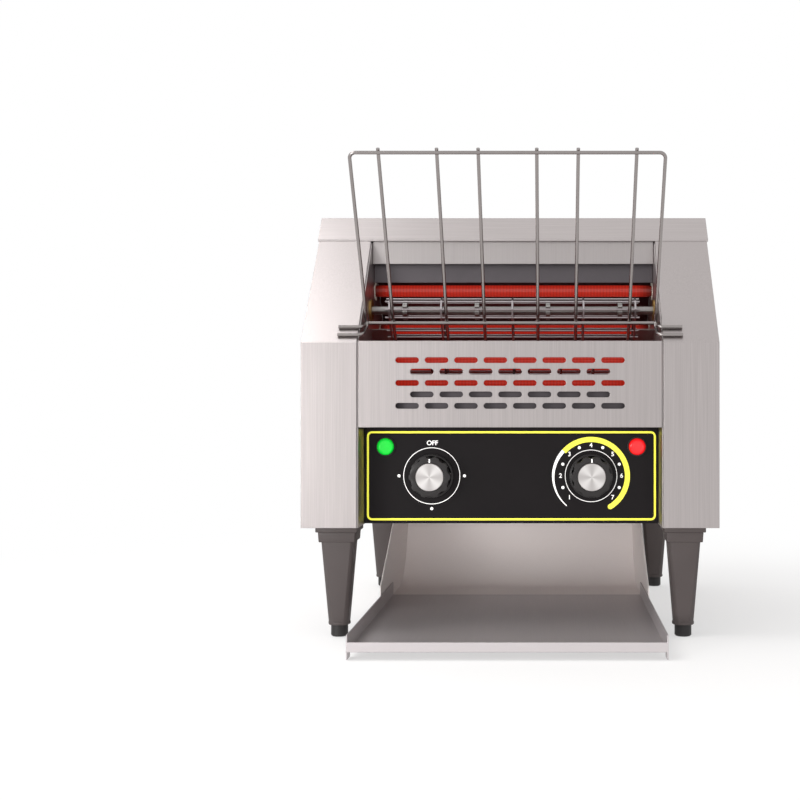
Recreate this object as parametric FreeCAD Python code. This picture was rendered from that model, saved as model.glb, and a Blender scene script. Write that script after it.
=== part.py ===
import FreeCAD, Part
import math
import os

from FreeCAD import Vector

# Conveyor toaster on four legs: two side boxes, a sloping mouth with a wire loading rack,
# an inclined wire belt with heater tubes on both sides, and a chute with a pull-out tray.
# Millimetres, +Z up, front towards -Y, origin on the floor under the middle of the whole.

# Overall body
LID_WIDTH = 368.4
BODY_DEPTH = 357.0
BODY_HEIGHT = 387.0
LEG_HEIGHT = 100.0
FOLD_HEIGHT = 262.0
SLOPE_RUN = 104.0
TRAY_REACH = 71.0
GLAND_REACH = 12.0
SHEET = 1.2
LID_LAP = 1.2
SIDE_BOX = 50.0
CHAMBER_HALF = LID_WIDTH / 2 - LID_LAP - SIDE_BOX
SEAT = 0.3

# Panels
PANEL_BOTTOM = 188.0
PANEL_TOP = 263.6
PANEL_GAP = 0.4
PANEL_TOP_FLANGE = 10.0
RECESS = 36.0
CONTROL_BOTTOM = 100.6
CONTROL_SHEET = 1.5
CONTROL_FLANGE = 100.0
LID_FLANGE_DROP = 25.0
LID_FLANGE_Z = BODY_HEIGHT - LID_FLANGE_DROP
LID_SIDE_DROP = 12.0
LID_REAR_DROP = 14.0
REAR_BOTTOM = 101.5
BAFFLE_DROP = 46.0
BAFFLE_BOTTOM = BODY_HEIGHT - BAFFLE_DROP
BAFFLE_Y = 86.0

# Slots of the front panel
SLOT_LENGTH = 20.6
SLOT_HEIGHT = 5.0
SLOT_PITCH = 25.7
SLOT_ROW_PITCH = 10.0
SLOT_TOP_ROW_Z = 246.8
SLOT_ROWS = 5
SLOTS_IN_LONG_ROW = 8

# Vents in the side covers and the rear panel
VENT_LENGTH = 52.0
VENT_HEIGHT = 4.0
VENT_PITCH = 10.0
VENT_COUNT = 6
VENT_Y = 285.0
VENT_LOW_Z = 130.0
REAR_VENT_LENGTH = 180.0
REAR_VENT_LOW_Z = 300.0
REAR_VENT_COUNT = 4

# Path of the toast: a straight line falling to the rear, seen from the side
PATH_Y = 22.0
PATH_Z = 289.0
PATH_ANGLE = 45.0
GUIDE_START = 46.0
GUIDE_END = 245.0
GUIDE_WIRE_R = 1.25
GUIDE_WIRES = 8
GUIDE_WIRE_PITCH = 30.0
GUIDE_CROSS_R = 1.5
GUIDE_CROSS_STATIONS = [54.0, 150.0, 238.0]

# Heater tubes, by their distance down the path
HEATER_R = 5.5
HEATER_PROUD = 23.0
HEATER_REACH = CHAMBER_HALF + HEATER_PROUD
HEATER_END_R = 3.0
HEATER_END_LENGTH = 8.0
LOWER_HEATER_OFFSET = -18.0
LOWER_HEATER_STATIONS = [40.0, 69.0, 98.0]
UPPER_HEATER_OFFSET = 80.0
UPPER_HEATER_STATIONS = [40.0, 90.0, 140.0, 190.0]
BUSH_R = 9.0
BUSH_FLANGE_R = 12.0
BUSH_FLANGE = 3.0
BUSH_LENGTH = 14.0
BUSH_PLAY = 0.15
BUSH_FIT = 0.05

# Reflectors
REFLECTOR_SHEET = 0.8
UPPER_REFLECTOR_OFFSET = 96.0
UPPER_REFLECTOR_START = 10.0
UPPER_REFLECTOR_END = 215.0
UPPER_REFLECTOR_LIP_Z = 324.5
LOWER_REFLECTOR_OFFSET = -36.0
LOWER_REFLECTOR_Y = 10.0
LOWER_REFLECTOR_TOP = 222.0
LOWER_REFLECTOR_FLOOR = 192.0

# Wire belt and its two shafts
BELT_PITCH = 8.0
BELT_TEETH = 8
BELT_SPAN_LINKS = 24
BELT_ROD_R = 0.9
BELT_EDGE_GAP = 15.0
BELT_HALF_WIDTH = CHAMBER_HALF - BELT_EDGE_GAP
BELT_STRAND_WIDTH = 1.6
BELT_STRAND_HEIGHT = 3.0
BELT_STRAND_INSET = 4.0
BELT_STRAND_PLACE = 66.0
BELT_OUTER_STRAND = BELT_HALF_WIDTH - BELT_STRAND_INSET
BELT_STRANDS = [-BELT_OUTER_STRAND, -BELT_STRAND_PLACE, 0.0, BELT_STRAND_PLACE, BELT_OUTER_STRAND]
BELT_SHAFT_Y = 72.0
BELT_SHAFT_Z = 296.0
SHAFT_R = 4.0
SHAFT_PLAY = 0.05
SPROCKET_WIDTH = 4.0
SPROCKET_INNER_X = 33.0
SPROCKET_INSET = 33.0
SPROCKET_OUTER_X = CHAMBER_HALF - SPROCKET_INSET
SPROCKET_PLACES = [-SPROCKET_OUTER_X, -SPROCKET_INNER_X, SPROCKET_INNER_X, SPROCKET_OUTER_X]
SPROCKET_TOOTH_DEPTH = 1.5
WHEEL_GAP = 0.3
BELT_LEDGE_LAP = 2.8
BELT_LEDGE_END = 16.0
BEARING_R = 7.0
BEARING_FLANGE_R = 10.0
BEARING_FLANGE = 2.0
BEARING_LENGTH = 10.0

# Chain drive in the right box
CHAIN_PITCH = 6.35
CHAIN_TEETH = 12
CHAIN_LINKS = 13
CHAIN_OFFSET = 19.0
CHAIN_X = CHAMBER_HALF + CHAIN_OFFSET
CHAIN_ROLLER_R = 1.6
CHAIN_INNER_WIDTH = 3.2
CHAIN_PLATE = 1.0
CHAIN_PLATE_HEIGHT = 5.4
CHAIN_WHEEL_WIDTH = 2.4
CHAIN_TOOTH_DEPTH = 0.9
MOTOR_R = 28.0
MOTOR_LENGTH = 20.0
MOTOR_SHAFT_R = 3.5
MOTOR_PLATE_OFFSET = 25.0
MOTOR_PLATE_X = CHAMBER_HALF + MOTOR_PLATE_OFFSET
MOTOR_PLATE = 1.5
MOTOR_PLATE_HALF = 34.0

# Chute and tray
CHUTE_SHEET = 1.0
CHUTE_GAP = 0.4
CHUTE_FLOOR_Z = 5.0
CHUTE_CURVE_R = 80.0
CHUTE_FRONT = 131.0
CHUTE_TOP = 170.0
CHUTE_WALL_LOW = 28.0
CHUTE_WALL_SLOPE = 0.559
CHUTE_WALL_TOP = 130.0
TRAY_SHEET = 1.0
TRAY_GAP = 0.4
TRAY_WALL_HEIGHT = 14.0
TRAY_LENGTH = 286.0
TRAY_LIP = 8.0
TRAY_FOOT_LENGTH = 14.0

# Legs
LEG_OFFSET = 21.75
LEG_X = CHAMBER_HALF + LEG_OFFSET
LEG_FRONT_INSET = 33.0
LEG_REAR_INSET = 30.0
LEG_FLANGE = 37.0
LEG_FLANGE_HEIGHT = 5.5
LEG_TOP = 30.5
LEG_BOTTOM = 17.5
LEG_BAND = 3.2
TIP_R = 7.6
TIP_HEIGHT = 10.5
TIP_SHANK_R = 4.0
TIP_SHANK_LENGTH = 32.0
LEG_BORE_DEPTH = 40.0
STUD_R = 4.0
STUD_LENGTH = 12.0
NUT_ACROSS = 13.0
NUT_HEIGHT = 6.5

# Controls
KNOB_X = 72.0
KNOB_Z = 143.5
KNOB_R = 18.4
KNOB_HEIGHT = 21.0
KNOB_LOBES = 10
KNOB_LOBE_CUT_R = 5.0
KNOB_LOBE_DEPTH = 1.3
KNOB_SKIRT_R = 19.6
KNOB_SKIRT = 3.0
KNOB_STANDOFF = 0.8
KNOB_CAP_R = 12.4
KNOB_CAP = 1.6
KNOB_CAP_PROUD = 0.9
SPINDLE_R = 3.0
SPINDLE_PLAY = 0.08
SPINDLE_BACK = 14.0
SPINDLE_IN_KNOB = 12.0
SWITCH_SIZE = 34.0
SWITCH_DEPTH = 26.0
REGULATOR_R = 14.0
REGULATOR_DEPTH = 20.0
COLLAR_R = 5.0
LAMP_INSET = 19.5
LAMP_X = CHAMBER_HALF - LAMP_INSET
LAMP_Z = 170.0
LAMP_R = 7.9
LAMP_BEZEL_R = 8.8
LAMP_BEZEL = 1.4
LAMP_PROUD = 6.0
LAMP_BODY_R = 6.0
LAMP_BODY_LENGTH = 24.0

# Loading rack
RACK_WIRE_R = 1.5
RACK_SIDE_GAP = 3.5
RACK_HALF = CHAMBER_HALF - RACK_SIDE_GAP
RACK_TOP_Y = -66.0
RACK_TOP_Z = 414.0
RACK_BEND = 5.0
RACK_NUB = 3.5
RACK_INNER_X = [24.0, 58.0, 106.0]
RACK_WIRE_END = 40.0
RACK_CROSS_STATION = 11.0
RACK_SIDE_STATION = 14.0
RACK_PIN_R = 1.6
RACK_PIN_PROUD = 18.5
RACK_PIN_REACH = CHAMBER_HALF + RACK_PIN_PROUD
RACK_UPPER_PIN_Y = 11.0
RACK_LOWER_PIN_Y = 5.0
RACK_WELD = 0.6

# Electrical pieces in the left box
FAN_SIZE = 60.0
FAN_DEPTH = 15.0
FAN_BORE_R = 28.0
FAN_HUB_R = 11.0
FAN_BLADES = 7
FAN_Z = 155.0
FAN_TIP_GAP = 1.5
TERMINAL_SIZE = (14.0, 46.0, 22.0)
TERMINAL_Y = 200.0
TERMINAL_Z = 120.0
THERMOSTAT_R = 9.0
THERMOSTAT_LENGTH = 12.0
THERMOSTAT_Y = 180.0
THERMOSTAT_Z = 300.0
GLAND_OFFSET = 25.0
GLAND_X = CHAMBER_HALF + GLAND_OFFSET
GLAND_Z = 125.0
GLAND_R = 10.0
GLAND_BORE_R = 4.6
GLAND_THREAD_R = 7.8
GLAND_INSIDE = 10.0
GLAND_HOLE_REACH = 30.0

# Screws
SCREW_R = 2.0
SCREW_HEAD_R = 3.8
SCREW_HEAD = 1.8
SCREW_LENGTH = 8.0
COVER_SCREW_REAR = 16.0
COVER_SCREW_FRONT = 18.0
COVER_SCREW_DROP = 30.0
COVER_SCREW_RISE = 18.0
REAR_SCREW_INSET = 11.0
REAR_SCREW_LOW = 82.5
REAR_SCREW_DROP = 25.0
CHUTE_SCREW_INSETS = [25.0, 75.0]
CHUTE_SCREW_RISE = 8.0

# Derived planes. Side-view values are measured back from the front face of the boxes.
FRONT = -(TRAY_REACH + BODY_DEPTH + GLAND_REACH) / 2 + TRAY_REACH
LID_HALF = LID_WIDTH / 2
BOX_HALF = LID_HALF - LID_LAP
BOX_BACK = BODY_DEPTH - SHEET
BOX_TOP = BODY_HEIGHT - SHEET
SLOPE = (BODY_HEIGHT - FOLD_HEIGHT) / SLOPE_RUN
BOX_TOP_Y = (BOX_TOP - FOLD_HEIGHT) / SLOPE
PLATE_OUTER = CHAMBER_HALF + SHEET
UP = Vector(0, 0, 1)
RIGHT = Vector(1, 0, 0)
BACKWARD = Vector(0, 1, 0)
FORWARD = Vector(0, -1, 0)
PATH_SIN = math.sin(math.radians(PATH_ANGLE))
PATH_COS = math.cos(math.radians(PATH_ANGLE))


def at(x, depth, z):
    """Point from sideways place, distance behind the front face, and height."""
    return Vector(x, FRONT + depth, z)


def on_path(station, offset):
    """Side-view place at a distance down the path and square off it, as (depth, height)."""
    depth = PATH_Y + station * PATH_SIN + offset * PATH_COS
    height = PATH_Z - station * PATH_COS + offset * PATH_SIN
    return depth, height


def box(x0, x1, y0, y1, z0, z1):
    """Block between two corners, with depths measured from the front face."""
    return Part.makeBox(x1 - x0, y1 - y0, z1 - z0, at(x0, y0, z0))


def side_prism(outline, x0, x1):
    """Side-view outline of (depth, height) points drawn out from x0 to x1."""
    points = [at(x0, depth, z) for depth, z in outline]
    return Part.Face(Part.makePolygon(points + points[:1])).extrude(Vector(x1 - x0, 0, 0))


def bar(x0, x1, depth, z, radius):
    """Round bar lying along X."""
    return Part.makeCylinder(radius, x1 - x0, at(x0, depth, z), RIGHT)


def moved(shape, offset):
    """Copy of a shape shifted by a vector."""
    copy = shape.copy()
    copy.translate(offset)
    return copy


def mirrored(shape):
    """Copy of a shape reflected across the middle plane."""
    return shape.mirror(Vector(0, 0, 0), RIGHT)


def bent_wire(points, radius, bend):
    """Round wire through the points, each inner corner turned on an arc of the bend radius."""
    edges = []
    start = points[0]
    for before, corner, after in zip(points, points[1:], points[2:]):
        into = (corner - before).normalize()
        out = (after - corner).normalize()
        turn = into.getAngle(out)
        setback = bend * math.tan(turn / 2)
        arc_start = corner - into * setback
        arc_end = corner + out * setback
        inward = (out - into).normalize()
        middle = corner + inward * (bend / math.cos(turn / 2) - bend)
        edges.append(Part.LineSegment(start, arc_start).toShape())
        edges.append(Part.Arc(arc_start, middle, arc_end).toShape())
        start = arc_end
    edges.append(Part.LineSegment(start, points[-1]).toShape())
    spine = Part.Wire(edges)
    section = Part.Wire(Part.makeCircle(radius, points[0], points[1] - points[0]))
    return spine.makePipeShell([section], True, False)


def fused(shapes):
    """One solid joined from several."""
    return shapes[0].fuse(shapes[1:]).removeSplitter()


def bent_sheet(centre_line, thickness, x0, x1):
    """Sheet folded along a side-view line, its thickness to the left of the way it runs."""
    offset = []
    count = len(centre_line)
    for index, (y, z) in enumerate(centre_line):
        normals = []
        for first, second in ((index - 1, index), (index, index + 1)):
            if first < 0 or second >= count:
                continue
            run_y = centre_line[second][0] - centre_line[first][0]
            run_z = centre_line[second][1] - centre_line[first][1]
            length = math.hypot(run_y, run_z)
            normals.append((-run_z / length, run_y / length))
        mean_y = sum(normal[0] for normal in normals) / len(normals)
        mean_z = sum(normal[1] for normal in normals) / len(normals)
        square = mean_y * mean_y + mean_z * mean_z
        offset.append((y + thickness * mean_y / square, z + thickness * mean_z / square))
    return side_prism(centre_line + offset[::-1], x0, x1)


def slot_cutter(x, z, length, height, depth0, depth1):
    """Round-ended cutter for a slot that runs along X and goes through along Y."""
    radius = height / 2
    half = length / 2 - radius
    body = box(x - half, x + half, depth0, depth1, z - radius, z + radius)
    ends = [
        Part.makeCylinder(radius, depth1 - depth0, at(x + side * half, depth0, z), BACKWARD)
        for side in (-1, 1)
    ]
    return fused([body] + ends)


# Outer side profile of a box, without and with its wall taken off
def box_outline(inset):
    grow = inset * math.hypot(1, SLOPE)
    top_y = (BOX_TOP - inset - FOLD_HEIGHT + grow) / SLOPE
    return [
        (inset, LEG_HEIGHT),
        (inset, FOLD_HEIGHT + inset * SLOPE - grow),
        (top_y, BOX_TOP - inset),
        (BOX_BACK - inset, BOX_TOP - inset),
        (BOX_BACK - inset, LEG_HEIGHT),
    ]


# Side covers: a pressed shell over each box, open towards the chamber and below
def vent_cutters(x0, x1):
    cutters = []
    for row in range(VENT_COUNT):
        z = VENT_LOW_Z + row * VENT_PITCH
        half = VENT_LENGTH / 2 - VENT_HEIGHT / 2
        middle = box(x0, x1, VENT_Y - half, VENT_Y + half, z - VENT_HEIGHT / 2, z + VENT_HEIGHT / 2)
        ends = [bar(x0, x1, VENT_Y + side * half, z, VENT_HEIGHT / 2) for side in (-1, 1)]
        cutters.append(fused([middle] + ends))
    return cutters


def side_screw_places():
    return [
        (BOX_BACK - COVER_SCREW_REAR, BOX_TOP - COVER_SCREW_DROP),
        (BOX_BACK - COVER_SCREW_REAR, LEG_HEIGHT + COVER_SCREW_RISE),
        (BOX_TOP_Y + COVER_SCREW_FRONT, BOX_TOP - COVER_SCREW_DROP),
        (COVER_SCREW_FRONT, LEG_HEIGHT + COVER_SCREW_RISE),
    ]


def side_cover():
    outer = side_prism(box_outline(0), PLATE_OUTER, BOX_HALF)
    inner = side_prism(box_outline(SHEET), PLATE_OUTER - 1, BOX_HALF - SHEET)
    floor_top = LEG_HEIGHT + SHEET + 1
    floor_cut = box(PLATE_OUTER - 1, BOX_HALF - SHEET, SHEET, BOX_BACK - SHEET, LEG_HEIGHT - 1, floor_top)
    cutters = [inner, floor_cut] + vent_cutters(BOX_HALF - 3, BOX_HALF + 3)
    cutters += [bar(BOX_HALF - 3, BOX_HALF + 3, y, z, SCREW_R + 0.3) for y, z in side_screw_places()]
    return outer.cut(cutters)


# Side plates: the chassis walls of the chamber, with a floor flange that takes the legs
def leg_places():
    return [LEG_FRONT_INSET, BODY_DEPTH - LEG_REAR_INSET]


def heater_places():
    lower = [on_path(station, LOWER_HEATER_OFFSET) for station in LOWER_HEATER_STATIONS]
    upper = [on_path(station, UPPER_HEATER_OFFSET) for station in UPPER_HEATER_STATIONS]
    return lower, upper


BELT_RUN = BELT_PITCH * BELT_SPAN_LINKS
SHAFT_PLACES = [
    (BELT_SHAFT_Y, BELT_SHAFT_Z),
    (BELT_SHAFT_Y + BELT_RUN * PATH_SIN, BELT_SHAFT_Z - BELT_RUN * PATH_COS),
]
CHUTE_SCREW_Z = LEG_HEIGHT + CHUTE_SCREW_RISE
CHUTE_SCREW_PLACES = [(BOX_BACK - inset, CHUTE_SCREW_Z) for inset in CHUTE_SCREW_INSETS]
PLATE_HOLE_REACH = 4.0


# Lip of the side plate behind the belt's bread side: the rod ends run along it
def belt_ledge():
    radius = BELT_PITCH / (2 * math.sin(math.pi / BELT_TEETH))
    shaft_station = (BELT_SHAFT_Y - PATH_Y) * PATH_SIN - (BELT_SHAFT_Z - PATH_Z) * PATH_COS
    shaft_offset = (BELT_SHAFT_Y - PATH_Y) * PATH_COS + (BELT_SHAFT_Z - PATH_Z) * PATH_SIN
    face = shaft_offset - radius + BELT_ROD_R + WHEEL_GAP
    first = shaft_station + BELT_LEDGE_END
    last = shaft_station + BELT_RUN - BELT_LEDGE_END
    outline = [
        on_path(first, face),
        on_path(last, face),
        on_path(last, face + SHEET),
        on_path(first, face + SHEET),
    ]
    return side_prism(outline, BELT_HALF_WIDTH - BELT_LEDGE_LAP, PLATE_OUTER)


def side_plate():
    wall = side_prism(box_outline(SHEET + SEAT), CHAMBER_HALF, PLATE_OUTER)
    flange = box(
        CHAMBER_HALF, BOX_HALF - SHEET - SEAT, SHEET + SEAT, BOX_BACK - SHEET - SEAT,
        LEG_HEIGHT, LEG_HEIGHT + SHEET,
    )
    lower, upper = heater_places()
    low_x = CHAMBER_HALF - PLATE_HOLE_REACH
    high_x = PLATE_OUTER + PLATE_HOLE_REACH
    holes = [bar(low_x, high_x, y, z, BUSH_R + BUSH_FIT) for y, z in lower + upper]
    holes += [bar(low_x, high_x, y, z, BEARING_R) for y, z in SHAFT_PLACES]
    holes += [bar(low_x, high_x, y, z, SCREW_R + 0.05) for y, z in CHUTE_SCREW_PLACES]
    for depth in leg_places():
        foot = at(LEG_X, depth, LEG_HEIGHT - 1)
        holes.append(Part.makeCylinder(STUD_R + 0.2, SHEET + 2, foot, UP))
    return wall.fuse([flange, belt_ledge()]).cut(holes).removeSplitter()


# Lid: full-width top with a front flange down the slope and short side and rear flanges
def top_cover():
    lap = SHEET * math.hypot(1, SLOPE)
    flange_y = (LID_FLANGE_Z - FOLD_HEIGHT) / SLOPE
    inner_z = LID_FLANGE_Z
    outer_line = [
        (flange_y, inner_z),
        (flange_y, inner_z + lap),
        ((BODY_HEIGHT - FOLD_HEIGHT - lap) / SLOPE, BODY_HEIGHT),
        (BODY_DEPTH, BODY_HEIGHT),
        (BODY_DEPTH, BODY_HEIGHT - LID_REAR_DROP),
        (BOX_BACK, BODY_HEIGHT - LID_REAR_DROP),
        (BOX_BACK, BOX_TOP),
        (BOX_TOP_Y, BOX_TOP),
    ]
    plate = side_prism(outer_line, -LID_HALF, LID_HALF)
    drop = [
        (flange_y, inner_z),
        (BOX_TOP_Y, BOX_TOP),
        (BOX_BACK, BOX_TOP),
        (BOX_BACK, BODY_HEIGHT - LID_SIDE_DROP),
        (BOX_TOP_Y + 5, BODY_HEIGHT - LID_SIDE_DROP),
        (flange_y + LID_SIDE_DROP * 0.8, inner_z),
    ]
    sides = [side_prism(drop, x0, x0 + LID_LAP) for x0 in (-LID_HALF, LID_HALF - LID_LAP)]
    return fused([plate] + sides)


# Front panel with five staggered rows of slots, folded back at the top and bottom
def front_panel():
    half = CHAMBER_HALF - PANEL_GAP
    line = [
        (PANEL_TOP_FLANGE, PANEL_TOP),
        (0, PANEL_TOP),
        (0, PANEL_BOTTOM),
        (RECESS, PANEL_BOTTOM),
    ]
    sheet = bent_sheet(line, SHEET, -half, half)
    cutters = []
    for row in range(SLOT_ROWS):
        count = SLOTS_IN_LONG_ROW - row % 2
        z = SLOT_TOP_ROW_Z - row * SLOT_ROW_PITCH
        for index in range(count):
            x = (index - (count - 1) / 2) * SLOT_PITCH
            cutters.append(slot_cutter(x, z, SLOT_LENGTH, SLOT_HEIGHT, -1, SHEET + 1))
    return sheet.cut(cutters)


# Control panel: set back under the front panel, its floor flange running to the rear
def control_panel():
    half = CHAMBER_HALF - PANEL_GAP
    line = [
        (RECESS, PANEL_BOTTOM),
        (RECESS, CONTROL_BOTTOM),
        (RECESS + CONTROL_FLANGE, CONTROL_BOTTOM),
    ]
    sheet = bent_sheet(line, CONTROL_SHEET, -half, half)
    cutters = []
    for x in (-KNOB_X, KNOB_X):
        cutters.append(Part.makeCylinder(COLLAR_R, 6, at(x, RECESS - 2, KNOB_Z), BACKWARD))
    for x in (-LAMP_X, LAMP_X):
        cutters.append(Part.makeCylinder(LAMP_BODY_R, 6, at(x, RECESS - 2, LAMP_Z), BACKWARD))
    return sheet.cut(cutters)


# Rear panel with vents, between the boxes
def rear_panel():
    half = CHAMBER_HALF - PANEL_GAP
    sheet = box(-half, half, BOX_BACK - SHEET, BOX_BACK, REAR_BOTTOM, BOX_TOP - PANEL_GAP)
    cutters = []
    for row in range(REAR_VENT_COUNT):
        z = REAR_VENT_LOW_Z + row * VENT_PITCH
        cutters.append(slot_cutter(0, z, REAR_VENT_LENGTH, VENT_HEIGHT, BOX_BACK - 3, BOX_BACK + 1))
    cutters += [
        Part.makeCylinder(SCREW_R + 0.05, 6, at(x, BOX_BACK - 4, z), BACKWARD)
        for x, z in rear_screw_places()
    ]
    return sheet.cut(cutters)


def rear_screw_places():
    reach = CHAMBER_HALF - REAR_SCREW_INSET
    low = REAR_BOTTOM + REAR_SCREW_LOW
    high = BODY_HEIGHT - REAR_SCREW_DROP
    return [(x, z) for x in (-reach, reach) for z in (low, (low + high) / 2, high)]


# Inner sheets that stand between the chamber walls
def mouth_baffle():
    half = CHAMBER_HALF - PANEL_GAP
    top = LID_FLANGE_Z + 2
    return box(-half, half, BAFFLE_Y, BAFFLE_Y + SHEET, BAFFLE_BOTTOM, top)


def upper_reflector():
    half = CHAMBER_HALF - PANEL_GAP
    start = on_path(UPPER_REFLECTOR_START, UPPER_REFLECTOR_OFFSET)
    end = on_path(UPPER_REFLECTOR_END, UPPER_REFLECTOR_OFFSET)
    line = [(start[0], UPPER_REFLECTOR_LIP_Z), start, end]
    return bent_sheet(line, REFLECTOR_SHEET, -half, half)


def lower_reflector():
    half = CHAMBER_HALF - PANEL_GAP
    fall = LOWER_REFLECTOR_FLOOR - CONTROL_BOTTOM - CONTROL_SHEET - SEAT
    station = (PATH_Z + LOWER_REFLECTOR_OFFSET * PATH_SIN - LOWER_REFLECTOR_FLOOR) / PATH_COS
    corner = on_path(station, LOWER_REFLECTOR_OFFSET)
    line = [
        (LOWER_REFLECTOR_Y, LOWER_REFLECTOR_TOP),
        (LOWER_REFLECTOR_Y, LOWER_REFLECTOR_FLOOR),
        corner,
        (corner[0] + fall * PATH_SIN / PATH_COS, corner[1] - fall),
    ]
    return bent_sheet(line, REFLECTOR_SHEET, -half, half)


# Heater tube with a thinner contact pin at each end
def heater(place):
    tube = bar(-HEATER_REACH, HEATER_REACH, place[0], place[1], HEATER_R)
    tip = HEATER_REACH + HEATER_END_LENGTH
    pins = bar(-tip, tip, place[0], place[1], HEATER_END_R)
    return fused([tube, pins])


def heater_bushes():
    bushes = []
    lower, upper = heater_places()
    for y, z in lower + upper:
        barrel = bar(CHAMBER_HALF - SEAT, PLATE_OUTER + BUSH_LENGTH, y, z, BUSH_R)
        flange = bar(PLATE_OUTER, PLATE_OUTER + BUSH_FLANGE, y, z, BUSH_FLANGE_R)
        bore = bar(CHAMBER_HALF - 5, PLATE_OUTER + BUSH_LENGTH + 5, y, z, HEATER_R + BUSH_PLAY)
        bush = barrel.fuse(flange).cut(bore).removeSplitter()
        bushes += [bush, mirrored(bush)]
    return Part.makeCompound(bushes)


# Fixed wires under the toast's path, welded on three cross rods
def guide_wires():
    pieces = []
    for index in range(GUIDE_WIRES):
        x = (index - (GUIDE_WIRES - 1) / 2) * GUIDE_WIRE_PITCH
        start = on_path(GUIDE_START, -GUIDE_WIRE_R)
        end = on_path(GUIDE_END, -GUIDE_WIRE_R)
        first = at(x, start[0], start[1])
        last = at(x, end[0], end[1])
        pieces.append(Part.makeCylinder(GUIDE_WIRE_R, (last - first).Length, first, last - first))
    half = CHAMBER_HALF - SEAT
    for station in GUIDE_CROSS_STATIONS:
        y, z = on_path(station, -2 * GUIDE_WIRE_R - GUIDE_CROSS_R + 0.5)
        pieces.append(bar(-half, half, y, z, GUIDE_CROSS_R))
    return fused(pieces)


# Loop of pitch points round two equal wheels, as (depth, height), in chain or belt order
def loop_points(centre_a, centre_b, pitch, teeth, links):
    radius = pitch / (2 * math.sin(math.pi / teeth))
    along = math.atan2(centre_b[1] - centre_a[1], centre_b[0] - centre_a[0])
    step = 2 * math.pi / teeth
    points = []
    for centre, other, first in ((centre_a, centre_b, along + math.pi / 2),
                                 (centre_b, centre_a, along - math.pi / 2)):
        for index in range(teeth // 2 + 1):
            angle = first + index * step
            y = centre[0] + radius * math.cos(angle)
            z = centre[1] + radius * math.sin(angle)
            points.append((y, z))
        last_y, last_z = points[-1]
        run_y = (other[0] - centre[0]) / links
        run_z = (other[1] - centre[1]) / links
        for index in range(1, links):
            points.append((last_y + index * run_y, last_z + index * run_z))
    return points


def loop_band(points, half_height, x0, x1):
    """Closed band that follows the loop, with flat faces between the pitch points."""
    outer = []
    inner = []
    count = len(points)
    for index, (y, z) in enumerate(points):
        before = points[index - 1]
        after = points[(index + 1) % count]
        run = math.atan2(after[1] - before[1], after[0] - before[0])
        outer.append((y + half_height * math.sin(run), z - half_height * math.cos(run)))
        inner.append((y - half_height * math.sin(run), z + half_height * math.cos(run)))
    return side_prism(outer, x0, x1).cut(side_prism(inner, x0 - 1, x1 + 1))


def conveyor_belt():
    points = loop_points(SHAFT_PLACES[0], SHAFT_PLACES[1], BELT_PITCH, BELT_TEETH, BELT_SPAN_LINKS)
    pieces = [
        loop_band(points, BELT_STRAND_HEIGHT / 2, x - BELT_STRAND_WIDTH / 2, x + BELT_STRAND_WIDTH / 2)
        for x in BELT_STRANDS
    ]
    pieces += [bar(-BELT_HALF_WIDTH, BELT_HALF_WIDTH, y, z, BELT_ROD_R) for y, z in points]
    return pieces[0].fuse(pieces[1:])


# Toothed wheel whose hollows hold rods or rollers at the pitch radius
def toothed_wheel(centre, x, width, pitch, teeth, rod_r, tooth_depth, bore_r, first_angle):
    radius = pitch / (2 * math.sin(math.pi / teeth))
    rim = radius - rod_r - WHEEL_GAP
    wheel = bar(x - width / 2, x + width / 2, centre[0], centre[1], rim)
    cutters = [bar(x - width, x + width, centre[0], centre[1], bore_r)]
    for index in range(teeth):
        angle = first_angle + index * 2 * math.pi / teeth
        y = centre[0] + radius * math.cos(angle)
        z = centre[1] + radius * math.sin(angle)
        cutters.append(bar(x - width, x + width, y, z, rod_r + WHEEL_GAP + tooth_depth))
    return wheel.cut(cutters)


BELT_ANGLE = math.radians(-PATH_ANGLE) + math.pi / 2


def belt_sprockets(centre):
    wheels = [
        toothed_wheel(centre, x, SPROCKET_WIDTH, BELT_PITCH, BELT_TEETH, BELT_ROD_R,
                      SPROCKET_TOOTH_DEPTH, SHAFT_R, BELT_ANGLE)
        for x in SPROCKET_PLACES
    ]
    return Part.makeCompound(wheels)


def shaft(centre, right_end):
    left_end = -(CHAMBER_HALF + BEARING_LENGTH - BEARING_FLANGE)
    return bar(left_end, right_end, centre[0], centre[1], SHAFT_R)


def shaft_bearings():
    bearings = []
    for y, z in SHAFT_PLACES:
        barrel = bar(CHAMBER_HALF - BEARING_FLANGE, CHAMBER_HALF + BEARING_LENGTH - BEARING_FLANGE,
                     y, z, BEARING_R)
        flange = bar(CHAMBER_HALF - BEARING_FLANGE, CHAMBER_HALF, y, z, BEARING_FLANGE_R)
        bore = bar(CHAMBER_HALF - 9, CHAMBER_HALF + 20, y, z, SHAFT_R + SHAFT_PLAY)
        bearing = barrel.fuse(flange).cut(bore).removeSplitter()
        bearings += [bearing, mirrored(bearing)]
    return Part.makeCompound(bearings)


# Chain drive: the motor stands behind the lower belt shaft and turns it one to one
DRIVE_CENTRE = SHAFT_PLACES[1]
MOTOR_CENTRE = (DRIVE_CENTRE[0] + CHAIN_PITCH * CHAIN_LINKS, DRIVE_CENTRE[1])
WHEEL_ANGLE = math.pi / 2


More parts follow.
